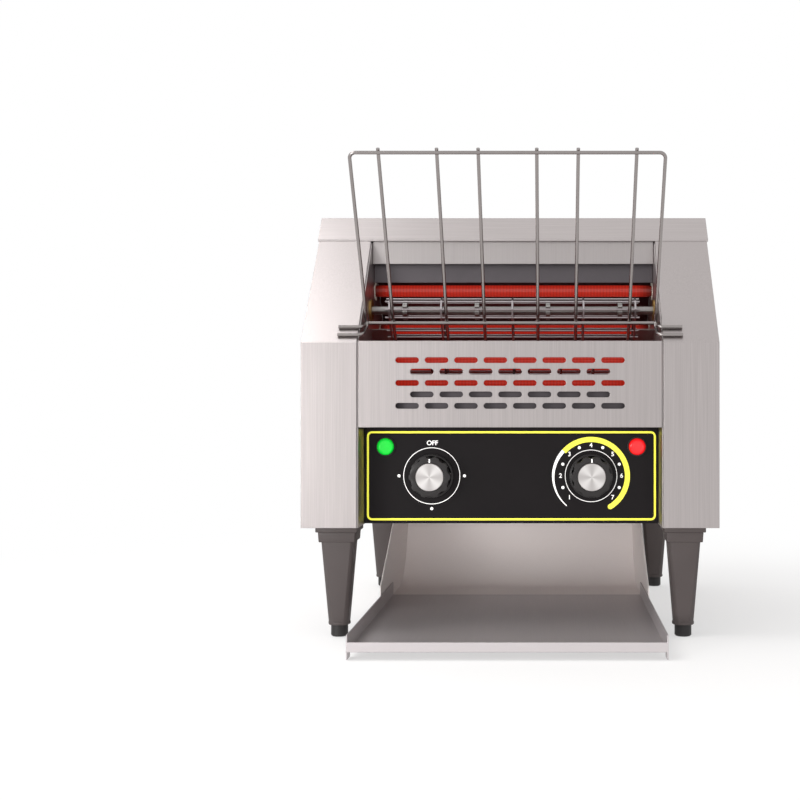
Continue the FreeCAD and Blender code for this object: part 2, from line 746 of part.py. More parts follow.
def drive_chain():
    points = loop_points(DRIVE_CENTRE, MOTOR_CENTRE, CHAIN_PITCH, CHAIN_TEETH, CHAIN_LINKS)
    half = CHAIN_INNER_WIDTH / 2
    pieces = [
        loop_band(points, CHAIN_PLATE_HEIGHT / 2, x0, x0 + CHAIN_PLATE)
        for x0 in (CHAIN_X - half - CHAIN_PLATE, CHAIN_X + half)
    ]
    reach = half + CHAIN_PLATE / 2
    pieces += [bar(CHAIN_X - reach, CHAIN_X + reach, y, z, CHAIN_ROLLER_R) for y, z in points]
    return pieces[0].fuse(pieces[1:])


def chain_wheel(centre, bore_r):
    return toothed_wheel(centre, CHAIN_X, CHAIN_WHEEL_WIDTH, CHAIN_PITCH, CHAIN_TEETH,
                         CHAIN_ROLLER_R, CHAIN_TOOTH_DEPTH, bore_r, WHEEL_ANGLE)


def motor_bracket():
    y, z = MOTOR_CENTRE
    half = MOTOR_PLATE_HALF
    plate = box(MOTOR_PLATE_X, MOTOR_PLATE_X + MOTOR_PLATE, y - half, y + half, z - half, z + half)
    legs = []
    for side in (-1, 1):
        edge = z + side * half
        low = min(edge, edge - side * MOTOR_PLATE)
        high = max(edge, edge - side * MOTOR_PLATE)
        legs.append(box(PLATE_OUTER, MOTOR_PLATE_X, y - half, y + half, low, high))
        foot_low = min(edge, edge + side * 10)
        foot_high = max(edge, edge + side * 10)
        legs.append(box(PLATE_OUTER, PLATE_OUTER + MOTOR_PLATE, y - half, y + half, foot_low, foot_high))
    bore = bar(MOTOR_PLATE_X - 2, MOTOR_PLATE_X + 4, y, z, 9.0)
    return fused([plate] + legs).cut(bore)


def gear_motor():
    y, z = MOTOR_CENTRE
    start = MOTOR_PLATE_X + MOTOR_PLATE
    drum = bar(start, start + MOTOR_LENGTH, y, z, MOTOR_R)
    boss = bar(MOTOR_PLATE_X - 1.5, start, y, z, 8.8)
    spindle_hole = bar(MOTOR_PLATE_X - 3, start + 8, y, z, MOTOR_SHAFT_R + SHAFT_PLAY)
    return fused([drum, boss]).cut(spindle_hole)


def motor_shaft():
    y, z = MOTOR_CENTRE
    return bar(CHAIN_X - 4, MOTOR_PLATE_X + MOTOR_PLATE + 7.5, y, z, MOTOR_SHAFT_R)


# Chute: a back sheet that turns forward on a wide curve, with a wall at each side
def chute_line(inset):
    radius = CHUTE_CURVE_R - inset
    centre = (BOX_BACK - SHEET - CHUTE_CURVE_R, CHUTE_FLOOR_Z + CHUTE_CURVE_R)
    return radius, centre


def chute():
    inner_half = CHAMBER_HALF - CHUTE_GAP - CHUTE_SHEET
    outer_half = CHAMBER_HALF - CHUTE_GAP
    radius, centre = chute_line(0)
    small, _ = chute_line(CHUTE_SHEET)
    x0 = -outer_half
    diagonal = math.sqrt(0.5)

    def point(depth, z):
        return at(x0, depth, z)

    def arc(r):
        return Part.Arc(
            point(centre[0] + r, centre[1]),
            point(centre[0] + r * diagonal, centre[1] - r * diagonal),
            point(centre[0], centre[1] - r),
        ).toShape()

    def line(start, end):
        return Part.LineSegment(point(*start), point(*end)).toShape()

    back = centre[0] + radius
    front_top = centre[0] + small
    wire = Part.Wire([
        line((back, CHUTE_TOP), (back, centre[1])),
        arc(radius),
        line((centre[0], CHUTE_FLOOR_Z), (CHUTE_FRONT, CHUTE_FLOOR_Z)),
        line((CHUTE_FRONT, CHUTE_FLOOR_Z), (CHUTE_FRONT, CHUTE_FLOOR_Z + CHUTE_SHEET)),
        line((CHUTE_FRONT, CHUTE_FLOOR_Z + CHUTE_SHEET), (centre[0], CHUTE_FLOOR_Z + CHUTE_SHEET)),
        arc(small),
        line((front_top, centre[1]), (front_top, CHUTE_TOP)),
        line((front_top, CHUTE_TOP), (back, CHUTE_TOP)),
    ])
    sheet = Part.Face(wire).extrude(Vector(2 * outer_half, 0, 0))
    # A wall fills the side view between the sheet and its sloping free edge
    rise_y = CHUTE_FRONT + (LEG_HEIGHT - CHUTE_WALL_LOW) / CHUTE_WALL_SLOPE
    wall_wire = Part.Wire([
        line((back, CHUTE_WALL_TOP), (back, centre[1])),
        arc(radius),
        line((centre[0], CHUTE_FLOOR_Z), (CHUTE_FRONT, CHUTE_FLOOR_Z)),
        line((CHUTE_FRONT, CHUTE_FLOOR_Z), (CHUTE_FRONT, CHUTE_WALL_LOW)),
        line((CHUTE_FRONT, CHUTE_WALL_LOW), (rise_y, LEG_HEIGHT)),
        line((rise_y, LEG_HEIGHT), (rise_y, CHUTE_WALL_TOP)),
        line((rise_y, CHUTE_WALL_TOP), (back, CHUTE_WALL_TOP)),
    ])
    wall = Part.Face(wall_wire).extrude(Vector(CHUTE_SHEET, 0, 0))
    other = moved(wall, Vector(inner_half + outer_half, 0, 0))
    screw_holes = [
        bar(-outer_half - 1, outer_half + 1, y, z, SCREW_R + 0.05) for y, z in CHUTE_SCREW_PLACES
    ]
    return fused([sheet, wall, other]).cut(screw_holes)


# Collecting tray: lies inside the chute's channel and slides out to the front
def collecting_tray():
    outer = CHAMBER_HALF - CHUTE_GAP - CHUTE_SHEET - TRAY_GAP
    floor_z = CHUTE_FLOOR_Z + CHUTE_SHEET + TRAY_GAP
    front = -TRAY_REACH
    back = front + TRAY_LENGTH
    top = floor_z + TRAY_WALL_HEIGHT
    floor = box(-outer, outer, front, back, floor_z, floor_z + TRAY_SHEET)
    lip = box(-outer, outer, front, front + TRAY_SHEET, floor_z, floor_z + TRAY_LIP)
    pieces = [floor, lip]
    for x0 in (-outer, outer - TRAY_SHEET):
        pieces.append(box(x0, x0 + TRAY_SHEET, front, back, floor_z, top))
        pieces.append(box(x0, x0 + TRAY_SHEET, front, front + TRAY_FOOT_LENGTH, SEAT, top))
    return fused(pieces)


# Leg: square flange, four tapered sides, a band near the foot, a stud on top, a bore below
def square_section(half, x, depth, z):
    return Part.makePolygon([
        at(x - half, depth - half, z), at(x + half, depth - half, z),
        at(x + half, depth + half, z), at(x - half, depth + half, z),
        at(x - half, depth - half, z),
    ])


def leg(x, depth):
    flange_z = LEG_HEIGHT - LEG_FLANGE_HEIGHT
    half = LEG_FLANGE / 2
    flange = box(x - half, x + half, depth - half, depth + half, flange_z, LEG_HEIGHT)
    flange = flange.makeFillet(2.0, [edge for edge in flange.Edges if abs(edge.tangentAt(0).z) > 0.9])
    band_z = TIP_HEIGHT + LEG_BAND
    taper = Part.makeLoft([
        square_section(LEG_TOP / 2, x, depth, flange_z),
        square_section(LEG_BOTTOM / 2, x, depth, band_z),
    ], True, True)
    long_edges = [edge for edge in taper.Edges if edge.Length > LEG_HEIGHT / 2]
    taper = taper.makeFillet(3.0, long_edges)
    band_r = LEG_BOTTOM / 2 - 0.2
    band = Part.makeCylinder(band_r, LEG_BAND, at(x, depth, TIP_HEIGHT), UP)
    stud = Part.makeCylinder(STUD_R, STUD_LENGTH, at(x, depth, LEG_HEIGHT), UP)
    bore = Part.makeCylinder(TIP_SHANK_R + SHAFT_PLAY, LEG_BORE_DEPTH, at(x, depth, TIP_HEIGHT - 1), UP)
    return fused([flange, taper, band, stud]).cut(bore)


def leg_tip(x, depth):
    disc = Part.makeCylinder(TIP_R, TIP_HEIGHT - SEAT, at(x, depth, 0), UP)
    rim = [edge for edge in disc.Edges if abs(edge.BoundBox.ZMax) < 0.01]
    disc = disc.makeChamfer(1.0, rim)
    shank = Part.makeCylinder(TIP_SHANK_R, TIP_SHANK_LENGTH, at(x, depth, TIP_HEIGHT - SEAT), UP)
    return fused([disc, shank])


def hexagon(across, height, base):
    radius = across / math.sqrt(3)
    points = [
        base + Vector(radius * math.cos(math.radians(60 * k)), radius * math.sin(math.radians(60 * k)), 0)
        for k in range(7)
    ]
    return Part.Face(Part.makePolygon(points)).extrude(Vector(0, 0, height))


def leg_nuts():
    nuts = []
    for x in (-LEG_X, LEG_X):
        for depth in leg_places():
            base = at(x, depth, LEG_HEIGHT + SHEET)
            hole = Part.makeCylinder(STUD_R + 0.02, NUT_HEIGHT + 2, base - Vector(0, 0, 1), UP)
            nuts.append(hexagon(NUT_ACROSS, NUT_HEIGHT, base).cut(hole))
    return Part.makeCompound(nuts)


# Knob with a skirt and a lobed grip, its metal cap, and the spindle it sits on
def knob(x):
    base = at(x, RECESS - KNOB_STANDOFF, KNOB_Z)
    skirt = Part.makeCylinder(KNOB_SKIRT_R, KNOB_SKIRT, base, FORWARD)
    grip = Part.makeCone(KNOB_R, KNOB_R - 1.2, KNOB_HEIGHT, base, FORWARD)
    cutters = []
    for index in range(KNOB_LOBES):
        angle = 2 * math.pi * (index + 0.5) / KNOB_LOBES
        radius = KNOB_R + KNOB_LOBE_CUT_R - KNOB_LOBE_DEPTH
        centre = base + Vector(radius * math.cos(angle), -KNOB_SKIRT, radius * math.sin(angle))
        cutters.append(Part.makeCylinder(KNOB_LOBE_CUT_R, KNOB_HEIGHT, centre, FORWARD))
    grip = grip.cut(cutters)
    face = base + FORWARD * (KNOB_HEIGHT + 1)
    pocket = Part.makeCylinder(KNOB_CAP_R, KNOB_CAP - KNOB_CAP_PROUD + 1, face, BACKWARD)
    bore = Part.makeCylinder(SPINDLE_R, SPINDLE_IN_KNOB, base, FORWARD)
    return skirt.fuse(grip).cut([pocket, bore])


def knob_cap(x):
    seat = KNOB_HEIGHT - KNOB_CAP + KNOB_CAP_PROUD
    disc = Part.makeCylinder(KNOB_CAP_R, KNOB_CAP, at(x, RECESS - KNOB_STANDOFF - seat, KNOB_Z), FORWARD)
    rim = [edge for edge in disc.Edges if edge.BoundBox.YMax < disc.BoundBox.YMin + 0.1]
    return disc.makeChamfer(0.4, rim)


def spindle(x):
    back = at(x, RECESS + CONTROL_SHEET + SPINDLE_BACK, KNOB_Z)
    length = CONTROL_SHEET + SPINDLE_BACK + KNOB_STANDOFF + SPINDLE_IN_KNOB
    return Part.makeCylinder(SPINDLE_R, length, back, FORWARD)


def control_collar(x):
    back = at(x, RECESS + CONTROL_SHEET, KNOB_Z)
    return Part.makeCylinder(COLLAR_R, CONTROL_SHEET + 0.5, back, FORWARD)


def spindle_hole(x):
    start = at(x, RECESS - 3, KNOB_Z)
    return Part.makeCylinder(SPINDLE_R + SPINDLE_PLAY, SPINDLE_BACK + CONTROL_SHEET + 3.5, start, BACKWARD)


def selector_switch():
    back = RECESS + CONTROL_SHEET
    half = SWITCH_SIZE / 2
    body = box(-KNOB_X - half, -KNOB_X + half, back, back + SWITCH_DEPTH, KNOB_Z - half, KNOB_Z + half)
    tabs = []
    for column in (-1, 0, 1):
        x = -KNOB_X + column * 10
        low = back + SWITCH_DEPTH
        tabs.append(box(x - 3, x + 3, low, low + 8, KNOB_Z - 0.4, KNOB_Z + 0.4))
    return fused([body, control_collar(-KNOB_X)] + tabs).cut(spindle_hole(-KNOB_X))


def speed_regulator():
    back = at(KNOB_X, RECESS + CONTROL_SHEET, KNOB_Z)
    body = Part.makeCylinder(REGULATOR_R, REGULATOR_DEPTH, back, BACKWARD)
    board = box(KNOB_X - 22, KNOB_X + 22, RECESS + CONTROL_SHEET + REGULATOR_DEPTH,
                RECESS + CONTROL_SHEET + REGULATOR_DEPTH + 1.6, KNOB_Z - 24, KNOB_Z + 20)
    return fused([body, control_collar(KNOB_X), board]).cut(spindle_hole(KNOB_X))


def lamp(x):
    front = at(x, RECESS, LAMP_Z)
    bezel = Part.makeCylinder(LAMP_BEZEL_R, LAMP_BEZEL, front, FORWARD)
    lens = Part.makeCylinder(LAMP_R, LAMP_PROUD, front, FORWARD)
    rim = [edge for edge in lens.Edges if edge.BoundBox.YMax < front.y - LAMP_PROUD + 0.1]
    lens = lens.makeFillet(2.6, rim)
    end = at(x, RECESS + LAMP_BODY_LENGTH, LAMP_Z)
    body = Part.makeCylinder(LAMP_BODY_R, LAMP_BODY_LENGTH, end, FORWARD)
    return fused([bezel, lens, body])


# Loading rack: bent frame wire, inner wires and a cross rod whose ends rest on the slopes
def slope_seat(depth):
    normal = math.hypot(1, SLOPE)
    lift = RACK_PIN_R + SEAT
    return depth - lift * SLOPE / normal, FOLD_HEIGHT + depth * SLOPE + lift / normal


def loading_rack():
    lower_y, lower_z = slope_seat(RACK_LOWER_PIN_Y)
    upper_y, upper_z = slope_seat(RACK_UPPER_PIN_Y)
    lean = (PATH_Y - RACK_TOP_Y) / (RACK_TOP_Z - PATH_Z)
    shift = RACK_WIRE_R * 2 - RACK_WELD
    cross_y, cross_z = on_path(RACK_CROSS_STATION, 0)
    corner_y, corner_z = on_path(RACK_SIDE_STATION, 0)
    frame = bent_wire([
        at(-RACK_PIN_REACH, lower_y, lower_z),
        at(-RACK_HALF, lower_y, lower_z),
        at(-RACK_HALF, corner_y, corner_z),
        at(-RACK_HALF, PATH_Y, PATH_Z),
        at(-RACK_HALF, RACK_TOP_Y, RACK_TOP_Z),
        at(RACK_HALF, RACK_TOP_Y, RACK_TOP_Z),
        at(RACK_HALF, PATH_Y, PATH_Z),
        at(RACK_HALF, corner_y, corner_z),
        at(RACK_HALF, lower_y, lower_z),
        at(RACK_PIN_REACH, lower_y, lower_z),
    ], RACK_WIRE_R, RACK_BEND)
    ear = CHAMBER_HALF - RACK_PIN_R - SEAT
    cross = bent_wire([
        at(-RACK_PIN_REACH, upper_y, upper_z),
        at(-ear, upper_y, upper_z),
        at(-ear, cross_y, cross_z),
        at(ear, cross_y, cross_z),
        at(ear, upper_y, upper_z),
        at(RACK_PIN_REACH, upper_y, upper_z),
    ], RACK_PIN_R, 3.2)
    pieces = [frame, cross]
    end_y, end_z = on_path(RACK_WIRE_END, 0)
    for x in [-value for value in RACK_INNER_X] + RACK_INNER_X:
        pieces.append(bent_wire([
            at(x, RACK_TOP_Y + shift - lean * RACK_NUB, RACK_TOP_Z + RACK_NUB),
            at(x, PATH_Y + shift, PATH_Z),
            at(x, end_y + shift, end_z),
        ], RACK_WIRE_R, 10.0))
    return fused(pieces)


# Fan on the inside of the left cover, behind its vents
FAN_X = BOX_HALF - SHEET - SEAT


def fan_frame():
    half = FAN_SIZE / 2
    body = box(-FAN_X, -FAN_X + FAN_DEPTH, VENT_Y - half, VENT_Y + half, FAN_Z - half, FAN_Z + half)
    body = body.cut(bar(-FAN_X - 1, -FAN_X + FAN_DEPTH + 1, VENT_Y, FAN_Z, FAN_BORE_R))
    hub = bar(-FAN_X, -FAN_X + 3, VENT_Y, FAN_Z, FAN_HUB_R)
    arms = [
        box(-FAN_X, -FAN_X + 2, VENT_Y - FAN_BORE_R - 1, VENT_Y + FAN_BORE_R + 1, FAN_Z - 1.5, FAN_Z + 1.5),
        box(-FAN_X, -FAN_X + 2, VENT_Y - 1.5, VENT_Y + 1.5, FAN_Z - FAN_BORE_R - 1, FAN_Z + FAN_BORE_R + 1),
    ]
    pin = bar(-FAN_X, -FAN_X + 9, VENT_Y, FAN_Z, 1.5)
    return fused([body, hub, pin] + arms)


def fan_rotor():
    x0 = -FAN_X + 3.5
    x1 = -FAN_X + FAN_DEPTH - 1
    hub = bar(x0, x1, VENT_Y, FAN_Z, FAN_HUB_R)
    pieces = [hub]
    reach = FAN_BORE_R - FAN_TIP_GAP
    centre = at(x0, VENT_Y, FAN_Z)
    for index in range(FAN_BLADES):
        blade = Part.makeBox(1.2, reach - FAN_HUB_R + 2, 9.0)
        blade.translate(Vector(-0.6, FAN_HUB_R - 2, -4.5))
        blade.rotate(Vector(0, 0, 0), BACKWARD, 50)
        blade.translate(Vector((x1 - x0) / 2, 0, 0))
        blade.rotate(Vector(0, 0, 0), RIGHT, index * 360.0 / FAN_BLADES)
        blade.translate(centre)
        pieces.append(blade)
    bore = bar(x0 - 1, -FAN_X + 9.5, VENT_Y, FAN_Z, 1.5 + SHAFT_PLAY)
    return fused(pieces).cut(bore)


def terminal_block():
    wide, deep, high = TERMINAL_SIZE
    x0 = -PLATE_OUTER - wide
    body = box(x0, -PLATE_OUTER, TERMINAL_Y, TERMINAL_Y + deep, TERMINAL_Z, TERMINAL_Z + high)
    wells = [
        bar(x0 - 1, x0 + 7, TERMINAL_Y + 8 + index * 10, TERMINAL_Z + high / 2, 2.6)
        for index in range(4)
    ]
    return body.cut(wells)


def thermostat():
    x0 = -PLATE_OUTER - THERMOSTAT_LENGTH
    can = bar(x0, -PLATE_OUTER, THERMOSTAT_Y, THERMOSTAT_Z, THERMOSTAT_R)
    blades = [
        box(x0 - 7, x0, THERMOSTAT_Y + side * 4 - 0.4, THERMOSTAT_Y + side * 4 + 0.4,
            THERMOSTAT_Z - 3, THERMOSTAT_Z + 3)
        for side in (-1, 1)
    ]
    return fused([can] + blades)


# Cord gland through the back of the left cover
def gland_hole():
    return Part.makeCylinder(GLAND_THREAD_R, 8, at(-GLAND_X, BOX_BACK - 4, GLAND_Z), BACKWARD)


def cord_gland():
    nut = Part.makeCylinder(GLAND_R, 4, at(-GLAND_X, BOX_BACK, GLAND_Z), BACKWARD)
    cap_length = BODY_DEPTH + GLAND_REACH - BOX_BACK
    cap = Part.makeCone(GLAND_R - 1, GLAND_R - 3.2, cap_length, at(-GLAND_X, BOX_BACK, GLAND_Z), BACKWARD)
    inside = Part.makeCylinder(GLAND_THREAD_R, SHEET + GLAND_INSIDE,
                               at(-GLAND_X, BOX_BACK - SHEET - GLAND_INSIDE, GLAND_Z), BACKWARD)
    start = at(-GLAND_X, BOX_BACK - GLAND_HOLE_REACH, GLAND_Z)
    bore = Part.makeCylinder(GLAND_BORE_R, 2 * GLAND_HOLE_REACH, start, BACKWARD)
    return fused([nut, cap, inside]).cut(bore)


# Screws
def screw(head_point, direction):
    head = Part.makeCylinder(SCREW_HEAD_R, SCREW_HEAD, head_point, direction)
    outer = [edge for edge in head.Edges if edge.Length > 2 * SCREW_HEAD_R * 3]
    far = max(outer, key=lambda edge: edge.BoundBox.Center.dot(direction))
    head = head.makeFillet(SCREW_HEAD * 0.6, [far])
    shank = Part.makeCylinder(SCREW_R, SCREW_LENGTH, head_point, direction * -1)
    return head.fuse(shank)


def cover_screws():
    screws = []
    for y, z in side_screw_places():
        one = screw(at(BOX_HALF, y, z), RIGHT)
        screws += [one, mirrored(one)]
    return screws


def rear_screws():
    return [screw(at(x, BOX_BACK, z), BACKWARD) for x, z in rear_screw_places()]


def chute_screws():
    screws = []
    for y, z in CHUTE_SCREW_PLACES:
        one = screw(at(PLATE_OUTER, y, z), RIGHT)
        screws += [one, mirrored(one)]
    return screws


os.makedirs("parts", exist_ok=True)

right_cover = side_cover()
right_plate = side_plate()
lower_places, upper_places = heater_places()
nodes = {
    "left_side_cover": mirrored(right_cover).cut(gland_hole()),
    "right_side_cover": right_cover,
    "left_side_plate": mirrored(right_plate),
    "right_side_plate": right_plate,
    "top_cover": top_cover(),
    "rear_panel": rear_panel(),
    "front_panel": front_panel(),
    "control_panel": control_panel(),
    "mouth_baffle": mouth_baffle(),
    "upper_reflector": upper_reflector(),
    "lower_reflector": lower_reflector(),
    "heater_bushes": heater_bushes(),
    "guide_wires": guide_wires(),
    "conveyor_belt": conveyor_belt(),
    "shaft_bearings": shaft_bearings(),
    "upper_shaft": shaft(SHAFT_PLACES[0], CHAMBER_HALF + BEARING_LENGTH - BEARING_FLANGE),
    "upper_sprockets": belt_sprockets(SHAFT_PLACES[0]),
    "lower_shaft": shaft(SHAFT_PLACES[1], CHAIN_X + CHAIN_WHEEL_WIDTH),
    "lower_sprockets": belt_sprockets(SHAFT_PLACES[1]),
    "driven_chain_wheel": chain_wheel(DRIVE_CENTRE, SHAFT_R),
    "motor_chain_wheel": chain_wheel(MOTOR_CENTRE, MOTOR_SHAFT_R),
    "motor_shaft": motor_shaft(),
    "gear_motor": gear_motor(),
    "motor_bracket": motor_bracket(),
    "drive_chain": drive_chain(),
    "chute": chute(),
    "collecting_tray": collecting_tray(),
    "leg_nuts": leg_nuts(),
    "selector_knob": knob(-KNOB_X),
    "selector_knob_cap": knob_cap(-KNOB_X),
    "selector_spindle": spindle(-KNOB_X),
    "selector_switch": selector_switch(),
    "speed_knob": knob(KNOB_X),
    "speed_knob_cap": knob_cap(KNOB_X),
    "speed_spindle": spindle(KNOB_X),
    "speed_regulator": speed_regulator(),
    "green_lamp": lamp(-LAMP_X),
    "red_lamp": lamp(LAMP_X),
    "loading_rack": loading_rack(),
    "fan_frame": fan_frame(),
    "fan_rotor": fan_rotor(),
    "terminal_block": terminal_block(),
    "thermostat": thermostat(),
    "cord_gland": cord_gland(),
    "machine_screws": Part.makeCompound(cover_screws() + rear_screws() + chute_screws()),
}
for number, place in enumerate(lower_places, 1):
    nodes[f"lower_heater_{number}"] = heater(place)
for number, place in enumerate(upper_places, 1):
    nodes[f"upper_heater_{number}"] = heater(place)
front_leg, rear_leg = leg_places()
for side, x in (("left", -LEG_X), ("right", LEG_X)):
    for end, depth in (("front", front_leg), ("rear", rear_leg)):
        nodes[f"{end}_{side}_leg"] = leg(x, depth)
        nodes[f"{end}_{side}_foot"] = leg_tip(x, depth)

for name, shape in nodes.items():
    shape.exportStep(f"parts/{name}.step")
    print(name, len(shape.Solids), round(shape.Volume, 1), shape.isValid())
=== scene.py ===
import bpy
import math
from mathutils import Matrix, Vector


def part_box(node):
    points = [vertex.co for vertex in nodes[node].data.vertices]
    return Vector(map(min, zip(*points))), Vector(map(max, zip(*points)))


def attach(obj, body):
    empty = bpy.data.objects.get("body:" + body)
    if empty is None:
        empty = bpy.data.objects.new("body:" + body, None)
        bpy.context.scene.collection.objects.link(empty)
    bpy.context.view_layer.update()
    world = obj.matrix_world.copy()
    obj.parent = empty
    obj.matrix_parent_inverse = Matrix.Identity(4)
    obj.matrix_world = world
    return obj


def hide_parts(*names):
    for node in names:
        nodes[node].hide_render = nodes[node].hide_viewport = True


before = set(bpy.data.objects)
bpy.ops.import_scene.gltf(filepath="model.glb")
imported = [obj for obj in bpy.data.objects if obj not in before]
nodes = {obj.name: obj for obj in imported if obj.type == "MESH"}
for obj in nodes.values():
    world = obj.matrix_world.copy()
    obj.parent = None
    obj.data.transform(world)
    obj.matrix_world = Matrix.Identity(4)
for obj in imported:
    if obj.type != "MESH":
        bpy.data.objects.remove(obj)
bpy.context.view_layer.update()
print("stage: frame loaded,", len(nodes), "nodes")

# Sizes in metres, read from the frame where a CAD node has them
mm = 0.001
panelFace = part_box("control_panel")[0].y
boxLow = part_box("right_side_cover")[0]
boxFront = boxLow.y


# Linear colour from an sRGB hex value
def srgb(code):
    parts = [int(code[i:i + 2], 16) / 255 for i in (1, 3, 5)]
    return [p / 12.92 if p <= 0.04045 else ((p + 0.055) / 1.055) ** 2.4 for p in parts] + [1.0]


# Adds one node; settings are attributes or socket values, links name sockets to feed
def addNode(tree, kind, settings=None, **links):
    node = tree.nodes.new(kind)
    for key, value in (settings or {}).items():
        if key in node.inputs:
            node.inputs[key].default_value = value
        else:
            setattr(node, key, value)
    for key, source in links.items():
        tree.links.new(source, node.inputs[key.replace("_", " ")])
    return node


# Material with one Principled shader and its plain settings
def newMaterial(name, settings):
    material = bpy.data.materials.new(name)
    material.use_nodes = True
    shader = material.node_tree.nodes["Principled BSDF"]
    for key, value in settings.items():
        shader.inputs[key].default_value = value
    return material, material.node_tree, shader


# Object coordinates in metres, scaled so that one unit is one grain each way
def grainCoords(tree, scale):
    coords = addNode(tree, "ShaderNodeTexCoord")
    return addNode(tree, "ShaderNodeMapping", {"Scale": scale}, Vector=coords.outputs["Object"])


# 430 stainless sheet, belt-brushed: fine straight scratches that spread its reflections
def brushedSteel(name, light, dark, along, roughness, metal=1.0):
    material, tree, shader = newMaterial(name, {"Metallic": metal, "Roughness": roughness})
    across = 1600.0  # scratches 0.6 mm apart, coarser than real ones so that they show
    scale = [across if axis != along else 14.0 for axis in "XYZ"]
    grain = addNode(tree, "ShaderNodeTexNoise", {"Scale": 1.0, "Detail": 1.5, "Roughness": 0.5},
                    Vector=grainCoords(tree, scale).outputs["Vector"])
    cloud = addNode(tree, "ShaderNodeTexNoise", {"Scale": 7.0, "Detail": 2.0},
                    Vector=grainCoords(tree, (1, 1, 1)).outputs["Vector"])
    tint = addNode(tree, "ShaderNodeMix", {"data_type": "RGBA"})
    tint.inputs[6].default_value = srgb(dark)
    tint.inputs[7].default_value = srgb(light)
    tree.links.new(grain.outputs["Fac"], tint.inputs[0])
    tree.links.new(tint.outputs[2], shader.inputs["Base Color"])
    rough = addNode(tree, "ShaderNodeMapRange", {"To Min": roughness - 0.07, "To Max": roughness + 0.09},
                    Value=cloud.outputs["Fac"])
    tree.links.new(rough.outputs["Result"], shader.inputs["Roughness"])
    edge = addNode(tree, "ShaderNodeBevel", {"samples": 4, "Radius": 0.8 * mm})
    bump = addNode(tree, "ShaderNodeBump", {"Strength": 0.1, "Distance": 0.05 * mm},
                   Height=grain.outputs["Fac"], Normal=edge.outputs["Normal"])
    tree.links.new(bump.outputs["Normal"], shader.inputs["Normal"])
    return material


# Drawn wire and turned steel: smooth with faint marks
def smoothMetal(name, colour, roughness, markSpacing=2.0 * mm):
    material, tree, shader = newMaterial(name, {"Metallic": 1.0, "Roughness": roughness})
    marks = addNode(tree, "ShaderNodeTexNoise", {"Scale": 1.0 / markSpacing, "Detail": 2.0},
                    Vector=grainCoords(tree, (1, 1, 1)).outputs["Vector"])
    ramp = addNode(tree, "ShaderNodeValToRGB", Fac=marks.outputs["Fac"])
    low, high = ramp.color_ramp.elements
    low.color = [c * 0.86 for c in srgb(colour)[:3]] + [1]
    high.color = srgb(colour)
    tree.links.new(ramp.outputs["Color"], shader.inputs["Base Color"])
    rough = addNode(tree, "ShaderNodeMapRange", {"To Min": roughness - 0.05, "To Max": roughness + 0.08},
                    Value=marks.outputs["Fac"])
    tree.links.new(rough.outputs["Result"], shader.inputs["Roughness"])
    return material


# Moulded plastic with a spark-eroded grain
def mouldedPlastic(name, colour, roughness, grain=0.7 * mm, strength=0.12, gloss=0.4):
    material, tree, shader = newMaterial(name, {"Roughness": roughness, "Specular IOR Level": gloss})
    texture = addNode(tree, "ShaderNodeTexNoise", {"Scale": 1.0 / grain, "Detail": 3.0},
                      Vector=grainCoords(tree, (1, 1, 1)).outputs["Vector"])
    cloud = addNode(tree, "ShaderNodeTexNoise", {"Scale": 22.0, "Detail": 2.0},
                    Vector=grainCoords(tree, (1, 1, 1)).outputs["Vector"])
    ramp = addNode(tree, "ShaderNodeValToRGB", Fac=cloud.outputs["Fac"])
    low, high = ramp.color_ramp.elements
    low.color = [c * 0.8 for c in srgb(colour)[:3]] + [1]
    high.color = [min(1, c * 1.15) for c in srgb(colour)[:3]] + [1]
    tree.links.new(ramp.outputs["Color"], shader.inputs["Base Color"])
    edge = addNode(tree, "ShaderNodeBevel", {"samples": 4, "Radius": 0.5 * mm})
    bump = addNode(tree, "ShaderNodeBump", {"Strength": strength, "Distance": 0.08 * mm},
                   Height=texture.outputs["Fac"], Normal=edge.outputs["Normal"])
    tree.links.new(bump.outputs["Normal"], shader.inputs["Normal"])
    return material


# Red-hot quartz tube: the coil inside lights the clear wall, and the glow fades out near the ends
coil = {"pitch": 3.0 * mm, "fadeFrom": 118 * mm, "fadeTo": 131 * mm, "betweenTurns": 0.68}


